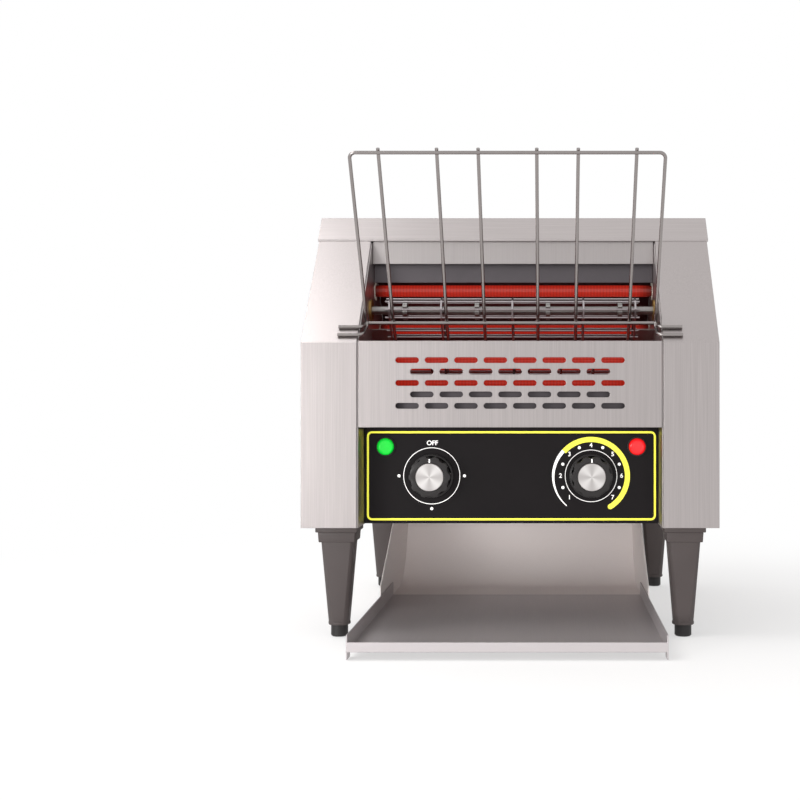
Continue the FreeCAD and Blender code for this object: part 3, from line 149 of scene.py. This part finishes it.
def glowingQuartz(name, strength):
    material, tree, shader = newMaterial(name, {"Roughness": 0.15, "IOR": 1.46,
                                                "Base Color": srgb("#5a1a14")})
    coords = grainCoords(tree, (1, 1, 1))
    split = addNode(tree, "ShaderNodeSeparateXYZ", Vector=coords.outputs["Vector"])
    wave = addNode(tree, "ShaderNodeMath", {"operation": "SINE"})
    turn = addNode(tree, "ShaderNodeMath", {"operation": "MULTIPLY"})
    turn.inputs[1].default_value = 2 * math.pi / coil["pitch"]
    tree.links.new(split.outputs["X"], turn.inputs[0])
    tree.links.new(turn.outputs[0], wave.inputs[0])
    heat = addNode(tree, "ShaderNodeMapRange", {"From Min": -1.0, "From Max": 1.0,
                                                "To Min": coil["betweenTurns"], "To Max": 1.0},
                   Value=wave.outputs[0])
    reach = addNode(tree, "ShaderNodeMath", {"operation": "ABSOLUTE"})
    tree.links.new(split.outputs["X"], reach.inputs[0])
    ends = addNode(tree, "ShaderNodeMapRange", {"From Min": coil["fadeFrom"], "From Max": coil["fadeTo"],
                                                "To Min": 1.0, "To Max": 0.0}, Value=reach.outputs[0])
    both = addNode(tree, "ShaderNodeMath", {"operation": "MULTIPLY"})
    tree.links.new(heat.outputs["Result"], both.inputs[0])
    tree.links.new(ends.outputs["Result"], both.inputs[1])
    ramp = addNode(tree, "ShaderNodeValToRGB", Fac=both.outputs[0])
    ramp.color_ramp.elements[0].color = (0.02, 0.0, 0.0, 1)
    ramp.color_ramp.elements[1].color = srgb("#ef3423")
    tree.links.new(ramp.outputs["Color"], shader.inputs["Emission Color"])
    shader.inputs["Emission Strength"].default_value = strength
    return material


# Tinted acrylic lamp lens, lit from behind
def litLens(name, colour, glow, strength):
    material, tree, shader = newMaterial(name, {"Roughness": 0.12, "IOR": 1.49,
                                                "Emission Strength": strength})
    shader.inputs["Base Color"].default_value = srgb(colour)
    facets = addNode(tree, "ShaderNodeTexVoronoi", {"Scale": 1.0 / (2.2 * mm)},
                     Vector=grainCoords(tree, (1, 1, 1)).outputs["Vector"])
    ramp = addNode(tree, "ShaderNodeValToRGB", Fac=facets.outputs["Distance"])
    ramp.color_ramp.elements[0].color = srgb(glow)
    ramp.color_ramp.elements[1].color = srgb(colour)
    tree.links.new(ramp.outputs["Color"], shader.inputs["Emission Color"])
    return material


# Printed ink: flat colour with a faint unevenness; its glow is painted light, an emission that keeps the
# ink bright whatever light falls on it
def printedInk(name, colour, glow=0.0):
    material, tree, shader = newMaterial(name, {"Roughness": 0.5, "Emission Strength": glow,
                                                "Emission Color": srgb(colour)})
    speckle = addNode(tree, "ShaderNodeTexNoise", {"Scale": 900.0},
                      Vector=grainCoords(tree, (1, 1, 1)).outputs["Vector"])
    ramp = addNode(tree, "ShaderNodeValToRGB", Fac=speckle.outputs["Fac"])
    ramp.color_ramp.elements[0].color = [c * 0.9 for c in srgb(colour)[:3]] + [1]
    ramp.color_ramp.elements[1].color = srgb(colour)
    tree.links.new(ramp.outputs["Color"], shader.inputs["Base Color"])
    return material


# Aluminium disc turned on its face, rings about its own axis, with a painted reflection: its sheen painted
# as light and dark sectors round the centre
def spunAluminium(name, centre):
    material, tree, shader = newMaterial(name, {"Metallic": 1.0, "Roughness": 0.3})
    coords = addNode(tree, "ShaderNodeTexCoord")
    place = addNode(tree, "ShaderNodeMapping", {"Location": [-c for c in centre]},
                    Vector=coords.outputs["Object"])
    split = addNode(tree, "ShaderNodeSeparateXYZ", Vector=place.outputs["Vector"])
    angle = addNode(tree, "ShaderNodeMath", {"operation": "ARCTAN2"})
    tree.links.new(split.outputs["Z"], angle.inputs[0])
    tree.links.new(split.outputs["X"], angle.inputs[1])
    times = addNode(tree, "ShaderNodeMath", {"operation": "MULTIPLY"})
    times.inputs[1].default_value = 4.0  # four light and four dark sectors of painted reflection, the sheen that light throws on a spun face
    tree.links.new(angle.outputs[0], times.inputs[0])
    wave = addNode(tree, "ShaderNodeMath", {"operation": "COSINE"})
    tree.links.new(times.outputs[0], wave.inputs[0])
    shade = addNode(tree, "ShaderNodeMapRange", {"From Min": -1.0, "From Max": 1.0}, Value=wave.outputs[0])
    ramp = addNode(tree, "ShaderNodeValToRGB", Fac=shade.outputs["Result"])
    ramp.color_ramp.elements[0].color = srgb("#e6e2e0")
    ramp.color_ramp.elements[1].color = srgb("#c4bfbd")
    tree.links.new(ramp.outputs["Color"], shader.inputs["Base Color"])
    return material


# The chute and tray are set less metallic than sheet steel is, because they rendered too dark
steel = {
    "front": brushedSteel("stainless_vertical", "#beb7b6", "#a69f9e", "Z", 0.36),
    "lid": brushedSteel("stainless_sideways", "#c3bcbb", "#ada6a5", "X", 0.34),
    "inner": brushedSteel("stainless_mill", "#b4aead", "#a59f9e", "Z", 0.4),
    "tray": brushedSteel("stainless_tray", "#bdb7b8", "#b2acad", "Y", 0.4, 0.6),
    # The chute's pale colour is painted light: the same steel made paler than elsewhere to make up for the
    # shade under the body
    "chute": brushedSteel("stainless_lengthways", "#e6dfdc", "#ded7d4", "Y", 0.42, 0.2),
}
materials = {
    "wire": smoothMetal("drawn_wire", "#9d9795", 0.2, 30 * mm),
    "belt": smoothMetal("belt_wire", "#b5aeb0", 0.3, 12 * mm),
    "shaft": smoothMetal("ground_bar", "#9d9a98", 0.32),
    "zinc": smoothMetal("zinc_plate", "#b7b8b8", 0.33),
    "bronze": smoothMetal("sintered_bronze", "#a98a55", 0.45),
    "reflector": smoothMetal("heat_tinted_sheet", "#625d60", 0.42, 9 * mm),
    "legs": mouldedPlastic("leg_plastic", "#413a39", 0.5),
    "foot": mouldedPlastic("foot_plastic", "#1d1b1b", 0.5),
    "knob": mouldedPlastic("knob_phenolic", "#1f1c1c", 0.36, strength=0.05, gloss=0.35),
    "black": mouldedPlastic("black_nylon", "#232323", 0.5),
    "cream": mouldedPlastic("cream_polyamide", "#d6cfb4", 0.5),
    "ceramic": mouldedPlastic("porcelain", "#dcd7ca", 0.55),
    "quartz": glowingQuartz("hot_quartz", 0.4),
    "panel": mouldedPlastic("black_enamel", "#141112", 0.35, grain=2.0 * mm, strength=0.02, gloss=0.12),
    # The inks glow a little: painted light that keeps the print bright on the dark panel
    "yellow": printedInk("yellow_ink", "#f4f04a", 0.15),
    "white": printedInk("white_ink", "#f4f2f0", 0.2),
    "greenLens": litLens("green_lens", "#00c030", "#10e848", 0.18),
    "redLens": litLens("red_lens", "#dc1018", "#f82420", 0.18),
    "leftCap": spunAluminium("spun_cap_left", (-0.072, 0, 0.1435)),
    "rightCap": spunAluminium("spun_cap_right", (0.072, 0, 0.1435)),
}
finishes = {
    "left_side_cover": steel["front"], "right_side_cover": steel["front"], "front_panel": steel["front"],
    "rear_panel": steel["front"], "top_cover": steel["lid"], "left_side_plate": steel["inner"],
    "right_side_plate": steel["inner"], "mouth_baffle": steel["inner"], "motor_bracket": steel["inner"],
    "chute": steel["chute"], "collecting_tray": steel["tray"], "control_panel": materials["panel"],
    "upper_reflector": materials["reflector"], "lower_reflector": materials["reflector"],
    "heater_bushes": materials["ceramic"], "guide_wires": materials["wire"],
    "loading_rack": materials["wire"], "conveyor_belt": materials["belt"],
    "shaft_bearings": materials["bronze"], "leg_nuts": materials["zinc"],
    "machine_screws": materials["zinc"], "gear_motor": materials["zinc"],
    "selector_knob": materials["knob"], "speed_knob": materials["knob"],
    "selector_knob_cap": materials["leftCap"], "speed_knob_cap": materials["rightCap"],
    "green_lamp": materials["greenLens"], "red_lamp": materials["redLens"],
    "selector_switch": materials["black"], "speed_regulator": materials["black"],
    "fan_frame": materials["black"], "fan_rotor": materials["black"],
    "cord_gland": materials["black"], "terminal_block": materials["cream"],
}
for name, piece in nodes.items():
    finish = finishes.get(name, materials["shaft"])
    if name.endswith("_leg"):
        finish = materials["legs"]
    if name.endswith("_foot"):
        finish = materials["foot"]
    if "heater_" in name and name != "heater_bushes":
        finish = materials["quartz"]
    piece.data.materials.clear()
    piece.data.materials.append(finish)
print("stage: CAD nodes finished")


# Bakes the object's place into its mesh, names it, and rides it on a body
def settle(piece, name, material, body="housing"):
    piece.data.transform(piece.matrix_world)
    piece.matrix_world = Matrix.Identity(4)
    piece.name = name
    piece.data.materials.clear()
    piece.data.materials.append(material)
    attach(piece, body)
    return piece


# Leaves edit mode with nothing selected
def fresh():
    if bpy.context.object and bpy.context.object.mode != "OBJECT":
        bpy.ops.object.mode_set(mode="OBJECT")
    bpy.ops.object.select_all(action="DESELECT")


# Thin printed shape on the upright panel, from closed outlines of (x, z) points
def inkShape(name, outline, material, holes=(), body="housing", depth=panelFace):
    fresh()
    curve = bpy.data.curves.new(name, "CURVE")
    curve.dimensions = "2D"
    curve.fill_mode = "BOTH"
    curve.extrude = ink["thickness"] / 2
    for points in [outline, *holes]:
        spline = curve.splines.new("POLY")
        spline.points.add(len(points) - 1)
        for point, (x, z) in zip(spline.points, points):
            point.co = (x, z, 0, 1)
        spline.use_cyclic_u = True
    piece = bpy.data.objects.new(name, curve)
    bpy.context.collection.objects.link(piece)
    return standUp(piece, name, material, body, depth)


# Turns a flat curve or text into a mesh that stands just in front of the panel
def standUp(piece, name, material, body, depth):
    fresh()
    piece.select_set(True)
    bpy.context.view_layer.objects.active = piece
    bpy.ops.object.convert(target="MESH")
    piece = bpy.context.object
    lift = Matrix.Translation((0, depth - ink["thickness"] / 2, 0))
    piece.matrix_world = lift @ Matrix.Rotation(math.pi / 2, 4, "X") @ piece.matrix_world
    return settle(piece, name, material, body)


# Points on an arc, angles in degrees clockwise from straight up
def arcPoints(centre, radius, start, end, count):
    points = []
    for i in range(count + 1):
        angle = math.radians(start + (end - start) * i / count)
        points.append((centre[0] + radius * math.sin(angle), centre[1] + radius * math.cos(angle)))
    return points


# Printed circle of one line width
def ring(name, centre, radius, width, material):
    outer = arcPoints(centre, radius + width / 2, 0, 360, 96)[:-1]
    inner = arcPoints(centre, radius - width / 2, 360, 0, 96)[:-1]
    return inkShape(name, outer, material, [inner])


# Outline of an upright rectangle with round corners
def roundedBox(x0, x1, z0, z1, radius):
    points = []
    for cx, cz, start in ((x1 - radius, z1 - radius, 0), (x1 - radius, z0 + radius, 90),
                          (x0 + radius, z0 + radius, 180), (x0 + radius, z1 - radius, 270)):
        points += arcPoints((cx, cz), radius, start, start + 90, 8)
    return points


# Printed figure or word, height being that of its capitals
def inkText(name, words, place, height, material):
    fresh()
    bpy.ops.object.text_add()
    text = bpy.context.object
    text.data.body = words
    text.data.size = height / ink["capShare"]
    text.data.extrude = ink["thickness"] / 2
    text.data.offset = height * ink["bold"]
    text.data.align_x = "CENTER"
    text.data.align_y = "CENTER"
    text.matrix_world = Matrix.Translation((place[0], place[1], 0))
    return standUp(text, name, material, "housing", panelFace)


# Printing on the control panel
ink = {"thickness": 0.15 * mm, "capShare": 0.7, "bold": 0.02}
border = {"reach": 130.6 * mm, "low": 103.3 * mm, "high": 183.8 * mm, "corner": 4.6 * mm, "width": 1.8 * mm}
outside = roundedBox(-border["reach"], border["reach"], border["low"], border["high"], border["corner"])
inside = roundedBox(-border["reach"] + border["width"], border["reach"] - border["width"],
                    border["low"] + border["width"], border["high"] - border["width"],
                    border["corner"] - border["width"])
inkShape("panel_border", outside, materials["yellow"], [inside[::-1]])

dial = {"left": (-0.072, 0.1435), "right": (0.072, 0.1435), "leftRing": 25.4 * mm, "rightRing": 23.4 * mm,
        "line": 0.5 * mm, "numbers": 27.6 * mm, "dot": 1.4 * mm, "digit": 3.9 * mm,
        "bandOuter": 35.2 * mm, "bandWidth": 4.6 * mm, "sweep": 270.0, "count": 7, "labels": 29.6 * mm,
        "offShift": 0.5 * mm, "offHeight": 4.1 * mm, "leftLine": 0.6 * mm}
ring("selector_ring", dial["left"], dial["leftRing"], dial["leftLine"], materials["white"])
ring("speed_ring", dial["right"], dial["rightRing"], dial["line"], materials["white"])
for index in range(dial["count"] * 2 - 1):
    angle = -dial["sweep"] / 2 + index * dial["sweep"] / (dial["count"] * 2 - 2)
    place = arcPoints(dial["right"], dial["numbers"], angle, angle, 1)[0]
    if index % 2:
        inkShape(f"dial_dot_{index}", arcPoints(place, dial["dot"], 0, 360, 24)[:-1], materials["white"])
    else:
        inkText(f"dial_number_{index // 2 + 1}", str(index // 2 + 1), place, dial["digit"],
                materials["white"])
offPlace = (dial["left"][0] + dial["offShift"], dial["left"][1] + dial["labels"])
inkText("selector_off_word", "OFF", offPlace, dial["offHeight"], materials["white"])
for index in (1, 2, 3):
    place = arcPoints(dial["left"], dial["labels"], 90 * index, 90 * index, 1)[0]
    inkShape(f"selector_dot_{index}", arcPoints(place, dial["dot"], 0, 360, 24)[:-1], materials["white"])

# Speed scale: a white line that swells from 1 to 3, then a broad yellow band to past 7
band = {"start": -141.0, "change": -48.0, "end": 148.0, "thin": 0.7 * mm, "thick": 3.2 * mm, "steps": 32}
whiteOuter = []
whiteInner = []
for i in range(band["steps"] + 1):
    part = i / band["steps"]
    angle = band["start"] + (band["change"] - band["start"]) * part
    width = band["thin"] + (band["thick"] - band["thin"]) * part
    whiteOuter += arcPoints(dial["right"], dial["bandOuter"], angle, angle, 1)[:1]
    whiteInner += arcPoints(dial["right"], dial["bandOuter"] - width, angle, angle, 1)[:1]
inkShape("speed_scale_white", whiteOuter + whiteInner[::-1], materials["white"])
middle = dial["bandOuter"] - dial["bandWidth"] / 2
capCentre = arcPoints(dial["right"], middle, band["end"], band["end"], 1)[0]
cap = arcPoints(capCentre, dial["bandWidth"] / 2, band["end"], band["end"] + 180, 12)
yellowOutline = (arcPoints(dial["right"], dial["bandOuter"], band["change"], band["end"], 72) + cap
                 + arcPoints(dial["right"], dial["bandOuter"] - dial["bandWidth"], band["end"],
                             band["change"], 72))
inkShape("speed_scale_yellow", yellowOutline, materials["yellow"])
print("stage: panel printed")


# Rounds the sharp edges and smooths what is left of the curve
def finishEdges(piece, width, segments, angle=30):
    fresh()
    piece.select_set(True)
    bpy.context.view_layer.objects.active = piece
    bevel = piece.modifiers.new("edges", "BEVEL")
    bevel.width = width
    bevel.segments = segments
    bevel.limit_method = "ANGLE"
    bevel.angle_limit = math.radians(angle)
    bpy.ops.object.modifier_apply(modifier=bevel.name)
    bpy.ops.object.shade_smooth_by_angle(angle=math.radians(35))


# Round bar along Y between two depths; nearRadius is its radius at the front where that differs
def drum(radius, near, far, centre, sides=96, nearRadius=None):
    fresh()
    bpy.ops.mesh.primitive_cone_add(vertices=sides, radius1=nearRadius or radius, radius2=radius,
                                    depth=far - near, location=(centre[0], (near + far) / 2, centre[1]),
                                    rotation=(-math.pi / 2, 0, 0))
    bpy.ops.object.transform_apply()
    return bpy.context.object


# Cuts one piece by another, or keeps what they share
def carve(piece, cutter, how="DIFFERENCE"):
    fresh()
    piece.select_set(True)
    bpy.context.view_layer.objects.active = piece
    cut = piece.modifiers.new("cut", "BOOLEAN")
    cut.operation = how
    cut.object = cutter
    bpy.ops.object.modifier_apply(modifier=cut.name)
    bpy.data.objects.remove(cutter)


# Joins pieces into one object
def join(pieces):
    fresh()
    for piece in pieces:
        piece.select_set(True)
    bpy.context.view_layer.objects.active = pieces[0]
    bpy.ops.object.join()
    return bpy.context.object


# Moulded knobs: a scalloped grip over a thin skirt, a pocket for the cap, an inlaid pointer
knob = {"skirt": 19.6 * mm, "skirtHeight": 2.4 * mm, "skirtRound": 0.5 * mm, "gripFace": 18.5 * mm,
        "gripRoot": 17.9 * mm, "gripGap": 0.5 * mm, "lobes": 10, "scoop": 6.5 * mm, "scoopDepth": 1.9 * mm,
        "round": 0.9 * mm, "pocket": 12.6 * mm, "pocketDepth": 0.8 * mm, "cutPast": 2.0 * mm,
        "pointerIn": 12.9 * mm, "pointerOut": 16.2 * mm, "pointerWidth": 1.1 * mm}
for name, centre, body in (("selector", dial["left"], "selector"),
                           ("speed", dial["right"], "speed_control")):
    low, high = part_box(name + "_knob")
    grip = drum(knob["gripRoot"], low.y, high.y - knob["gripGap"], centre, nearRadius=knob["gripFace"])
    scoops = []
    for index in range(knob["lobes"]):
        angle = 2 * math.pi * (index + 0.5) / knob["lobes"]
        reach = knob["gripFace"] + knob["scoop"] - knob["scoopDepth"]
        place = (centre[0] + reach * math.cos(angle), centre[1] + reach * math.sin(angle))
        scoops.append(drum(knob["scoop"], low.y - knob["cutPast"], high.y - knob["skirtHeight"], place, 48))
    carve(grip, join(scoops))
    carve(grip, drum(knob["pocket"], low.y - knob["cutPast"], low.y + knob["pocketDepth"], centre))
    finishEdges(grip, knob["round"], 3)
    skirt = drum(knob["skirt"], high.y - knob["skirtHeight"], high.y, centre)
    finishEdges(skirt, knob["skirtRound"], 2)
    piece = settle(join([grip, skirt]), name + "_knob_moulding", materials["knob"], body)
    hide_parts(name + "_knob")
    half = knob["pointerWidth"] / 2
    x, z = centre
    line = [(x - half, z + knob["pointerIn"]), (x + half, z + knob["pointerIn"]),
            (x + half, z + knob["pointerOut"]), (x - half, z + knob["pointerOut"])]
    inkShape(name + "_pointer", line, materials["white"], body=body, depth=low.y)
print("stage: knobs")


# Legs: tapered square posts under a flange, their corners rounding off towards the tip
leg = {"top": 15.25 * mm, "bottom": 8.75 * mm, "coneTop": 20.4 * mm, "coneBottom": 9.7 * mm,
       "flange": 18.5 * mm, "flangeHeight": 5.5 * mm, "collar": 16.6 * mm, "collarHeight": 9.0 * mm,
       "collarTaper": 0.6 * mm, "ring": 9.9 * mm, "ringHeight": 2.8 * mm, "stud": 4.0 * mm,
       "edge": 0.7 * mm}


# Upright post, square with four sides and round with more, given by its half widths
def post(name, topHalf, bottomHalf, top, bottom, centre, sides=4):
    fresh()
    spread = math.sqrt(2) if sides == 4 else 1
    bpy.ops.mesh.primitive_cone_add(vertices=sides, radius1=bottomHalf * spread, radius2=topHalf * spread,
                                    depth=top - bottom, location=(*centre, (top + bottom) / 2),
                                    rotation=(0, 0, math.pi / 4 if sides == 4 else 0))
    bpy.ops.object.transform_apply()
    bpy.context.object.name = name
    return bpy.context.object


for end in ("front", "rear"):
    for side in ("left", "right"):
        name = f"{end}_{side}_leg"
        low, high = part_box(name)
        centre = ((low.x + high.x) / 2, (low.y + high.y) / 2)
        seat = boxLow.z
        shaft = post("post", leg["top"], leg["bottom"], seat, low.z, centre)
        carve(shaft, post("cone", leg["coneTop"], leg["coneBottom"], seat + mm, low.z - mm, centre, 64),
              "INTERSECT")
        finishEdges(shaft, leg["edge"], 2, 25)
        flange = post("flange", leg["flange"], leg["flange"], seat, seat - leg["flangeHeight"], centre)
        under = seat - leg["flangeHeight"]
        collar = post("collar", leg["collar"], leg["collar"] - leg["collarTaper"], under,
                      under - leg["collarHeight"], centre)
        ringBand = post("band", leg["ring"], leg["ring"], low.z + leg["ringHeight"], low.z, centre, 48)
        stud = post("stud", leg["stud"], leg["stud"], high.z, seat - mm, centre, 32)
        for part in (flange, collar, ringBand):
            finishEdges(part, leg["edge"], 3)
        whole = join([shaft, flange, collar, ringBand, stud])
        moulding = settle(whole, name + "_moulding", materials["legs"])
        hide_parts(name)
print("stage: legs")


# Signal lamps: a domed lens in a thin dark bezel, with its holder behind the panel
lamp = {"lens": 7.7 * mm, "dome": 3.4 * mm, "lensGap": 0.2 * mm, "bezel": 8.8 * mm,
        "bezelDepth": 1.6 * mm, "bezelGap": 0.05 * mm, "bezelFloor": 0.6 * mm, "bezelRound": 0.4 * mm,
        "play": 0.1 * mm, "cutPast": 5.0 * mm, "holder": 5.9 * mm, "holderRound": 0.8 * mm}
for name, material in (("green", materials["greenLens"]), ("red", materials["redLens"])):
    low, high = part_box(name + "_lamp")
    centre = ((low.x + high.x) / 2, (low.z + high.z) / 2)
    lens = drum(lamp["lens"], low.y, panelFace - lamp["lensGap"], centre, 64)
    finishEdges(lens, lamp["dome"], 8)
    piece = settle(lens, name + "_lens", material)
    bezel = drum(lamp["bezel"], panelFace - lamp["bezelDepth"], panelFace - lamp["bezelGap"], centre, 64)
    carve(bezel, drum(lamp["lens"] + lamp["play"], panelFace - lamp["cutPast"],
                      panelFace - lamp["bezelFloor"], centre, 64))
    finishEdges(bezel, lamp["bezelRound"], 3)
    stem = drum(lamp["holder"], panelFace, high.y, centre, 48)
    finishEdges(stem, lamp["holderRound"], 2)
    settle(join([bezel, stem]), name + "_lamp_holder", materials["black"])
    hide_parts(name + "_lamp")
print("stage: lamps")


# Floor and lighting: a white studio, a key light at the left, a low fill, a light above the left
# 1 for the rays that show the white backdrop: camera, glossy and transmission rays
def backdropRays(tree):
    path = addNode(tree, "ShaderNodeLightPath")
    total = path.outputs["Is Camera Ray"]
    for ray in ("Is Glossy Ray", "Is Transmission Ray"):
        larger = addNode(tree, "ShaderNodeMath", {"operation": "MAXIMUM"})
        tree.links.new(total, larger.inputs[0])
        tree.links.new(path.outputs[ray], larger.inputs[1])
        total = larger.outputs[0]
    return total


# The floor is plain near the object, where it keeps the shadow, and goes white further out
sweepFloor = {"side": 16.0, "drop": 0.4 * mm, "fadeFrom": 0.25, "fadeTo": 0.85, "nearWhite": 0.5}


def addFloor():
    fresh()
    bpy.ops.mesh.primitive_plane_add(size=sweepFloor["side"], location=(0, 0, -sweepFloor["drop"]))
    floor = bpy.context.object
    floor.name = "floor"
    material, tree, shader = newMaterial("pale_floor", {"Roughness": 0.9, "Base Color": srgb("#f4f2f1")})
    white = addNode(tree, "ShaderNodeEmission", {"Color": (1, 1, 1, 1)})
    coords = addNode(tree, "ShaderNodeTexCoord")
    reach = addNode(tree, "ShaderNodeVectorMath", {"operation": "LENGTH"})
    tree.links.new(coords.outputs["Object"], reach.inputs[0])
    fade = addNode(tree, "ShaderNodeMapRange",
                   {"interpolation_type": "SMOOTHSTEP", "From Min": sweepFloor["fadeFrom"],
                    "From Max": sweepFloor["fadeTo"], "To Min": sweepFloor["nearWhite"], "To Max": 1.0},
                   Value=reach.outputs["Value"])
    seen = addNode(tree, "ShaderNodeMath", {"operation": "MULTIPLY"})
    tree.links.new(fade.outputs["Result"], seen.inputs[0])
    tree.links.new(backdropRays(tree), seen.inputs[1])
    both = addNode(tree, "ShaderNodeMixShader")
    tree.links.new(seen.outputs[0], both.inputs[0])
    tree.links.new(shader.outputs[0], both.inputs[1])
    tree.links.new(white.outputs[0], both.inputs[2])
    tree.links.new(both.outputs[0], tree.nodes["Material Output"].inputs["Surface"])
    floor.data.materials.append(material)


# Rectangular lamp aimed at a point; shine=False hides it from glossy rays, so it leaves no streak
def addLight(name, place, target, size, power, shine=True):
    light = bpy.data.lights.new(name, "AREA")
    light.shape = "RECTANGLE"
    light.size, light.size_y = size
    light.energy = power
    holder = bpy.data.objects.new(name, light)
    bpy.context.collection.objects.link(holder)
    holder.location = place
    holder.visible_glossy = shine
    holder.rotation_euler = (Vector(target) - Vector(place)).to_track_quat("-Z", "Y").to_euler()


# The world lights more from the left and from above; strength by direction, smallest and largest
studioLight = {"left": 1.05, "right": 0.5, "leftEdge": -0.5, "rightEdge": 0.45,
               "level": 0.92, "overhead": 1.35, "lowEdge": 0.2, "highEdge": 1.0}


def addWorld():
    world = bpy.data.worlds.new("studio")
    bpy.context.scene.world = world
    world.use_nodes = True
    tree = world.node_tree
    background = tree.nodes["Background"]
    coords = addNode(tree, "ShaderNodeTexCoord")
    split = addNode(tree, "ShaderNodeSeparateXYZ", Vector=coords.outputs["Generated"])
    sweep = addNode(tree, "ShaderNodeMapRange",
                    {"interpolation_type": "SMOOTHSTEP", "From Min": studioLight["leftEdge"],
                     "From Max": studioLight["rightEdge"], "To Min": studioLight["left"],
                     "To Max": studioLight["right"]}, Value=split.outputs["X"])
    height = addNode(tree, "ShaderNodeMapRange",
                     {"interpolation_type": "SMOOTHSTEP", "From Min": studioLight["lowEdge"],
                      "From Max": studioLight["highEdge"], "To Min": studioLight["level"],
                      "To Max": studioLight["overhead"]}, Value=split.outputs["Z"])
    studio = addNode(tree, "ShaderNodeMath", {"operation": "MULTIPLY"})
    tree.links.new(sweep.outputs["Result"], studio.inputs[0])
    tree.links.new(height.outputs["Result"], studio.inputs[1])
    level = addNode(tree, "ShaderNodeMix", {"data_type": "FLOAT"})
    tree.links.new(backdropRays(tree), level.inputs[0])
    tree.links.new(studio.outputs[0], level.inputs[2])
    level.inputs[3].default_value = 1.0
    tree.links.new(level.outputs[0], background.inputs["Strength"])
    background.inputs["Color"].default_value = (1, 1, 1, 1)


addFloor()
addWorld()
addLight("key", (-1.0, -1.45, 0.05), (-0.1, 0, 0.15), (0.5, 0.7), 16)
addLight("low_fill", (0.0, -2.5, 0.2), (0, 0.15, 0.06), (2.2, 0.4), 44, shine=False)
addLight("top", (-0.75, -0.3, 1.3), (-0.1, -0.1, 0.3), (0.7, 0.7), 7)

# Camera: level, straight along +Y, shifted so that the object stands right of the middle
view = {"x": 34 * mm, "height": 208 * mm, "distance": 1030 * mm, "focalPixels": 1179.0,
        "frame": 800.0, "centre": (549.0, 404.5)}
camera = bpy.data.cameras.new("camera")
camera.sensor_width = 36.0
camera.lens = view["focalPixels"] / view["frame"] * camera.sensor_width
camera.shift_x = (view["frame"] / 2 - view["centre"][0]) / view["frame"]
camera.shift_y = (view["centre"][1] - view["frame"] / 2) / view["frame"]
camera.clip_start = 0.01
holder = bpy.data.objects.new("camera", camera)
bpy.context.collection.objects.link(holder)
holder.location = (view["x"], boxFront - view["distance"], view["height"])
holder.rotation_euler = (math.pi / 2, 0, 0)
bpy.context.scene.camera = holder
bpy.context.scene.view_settings.view_transform = "Standard"
print("stage: camera and lights")

bpy.context.view_layer.update()
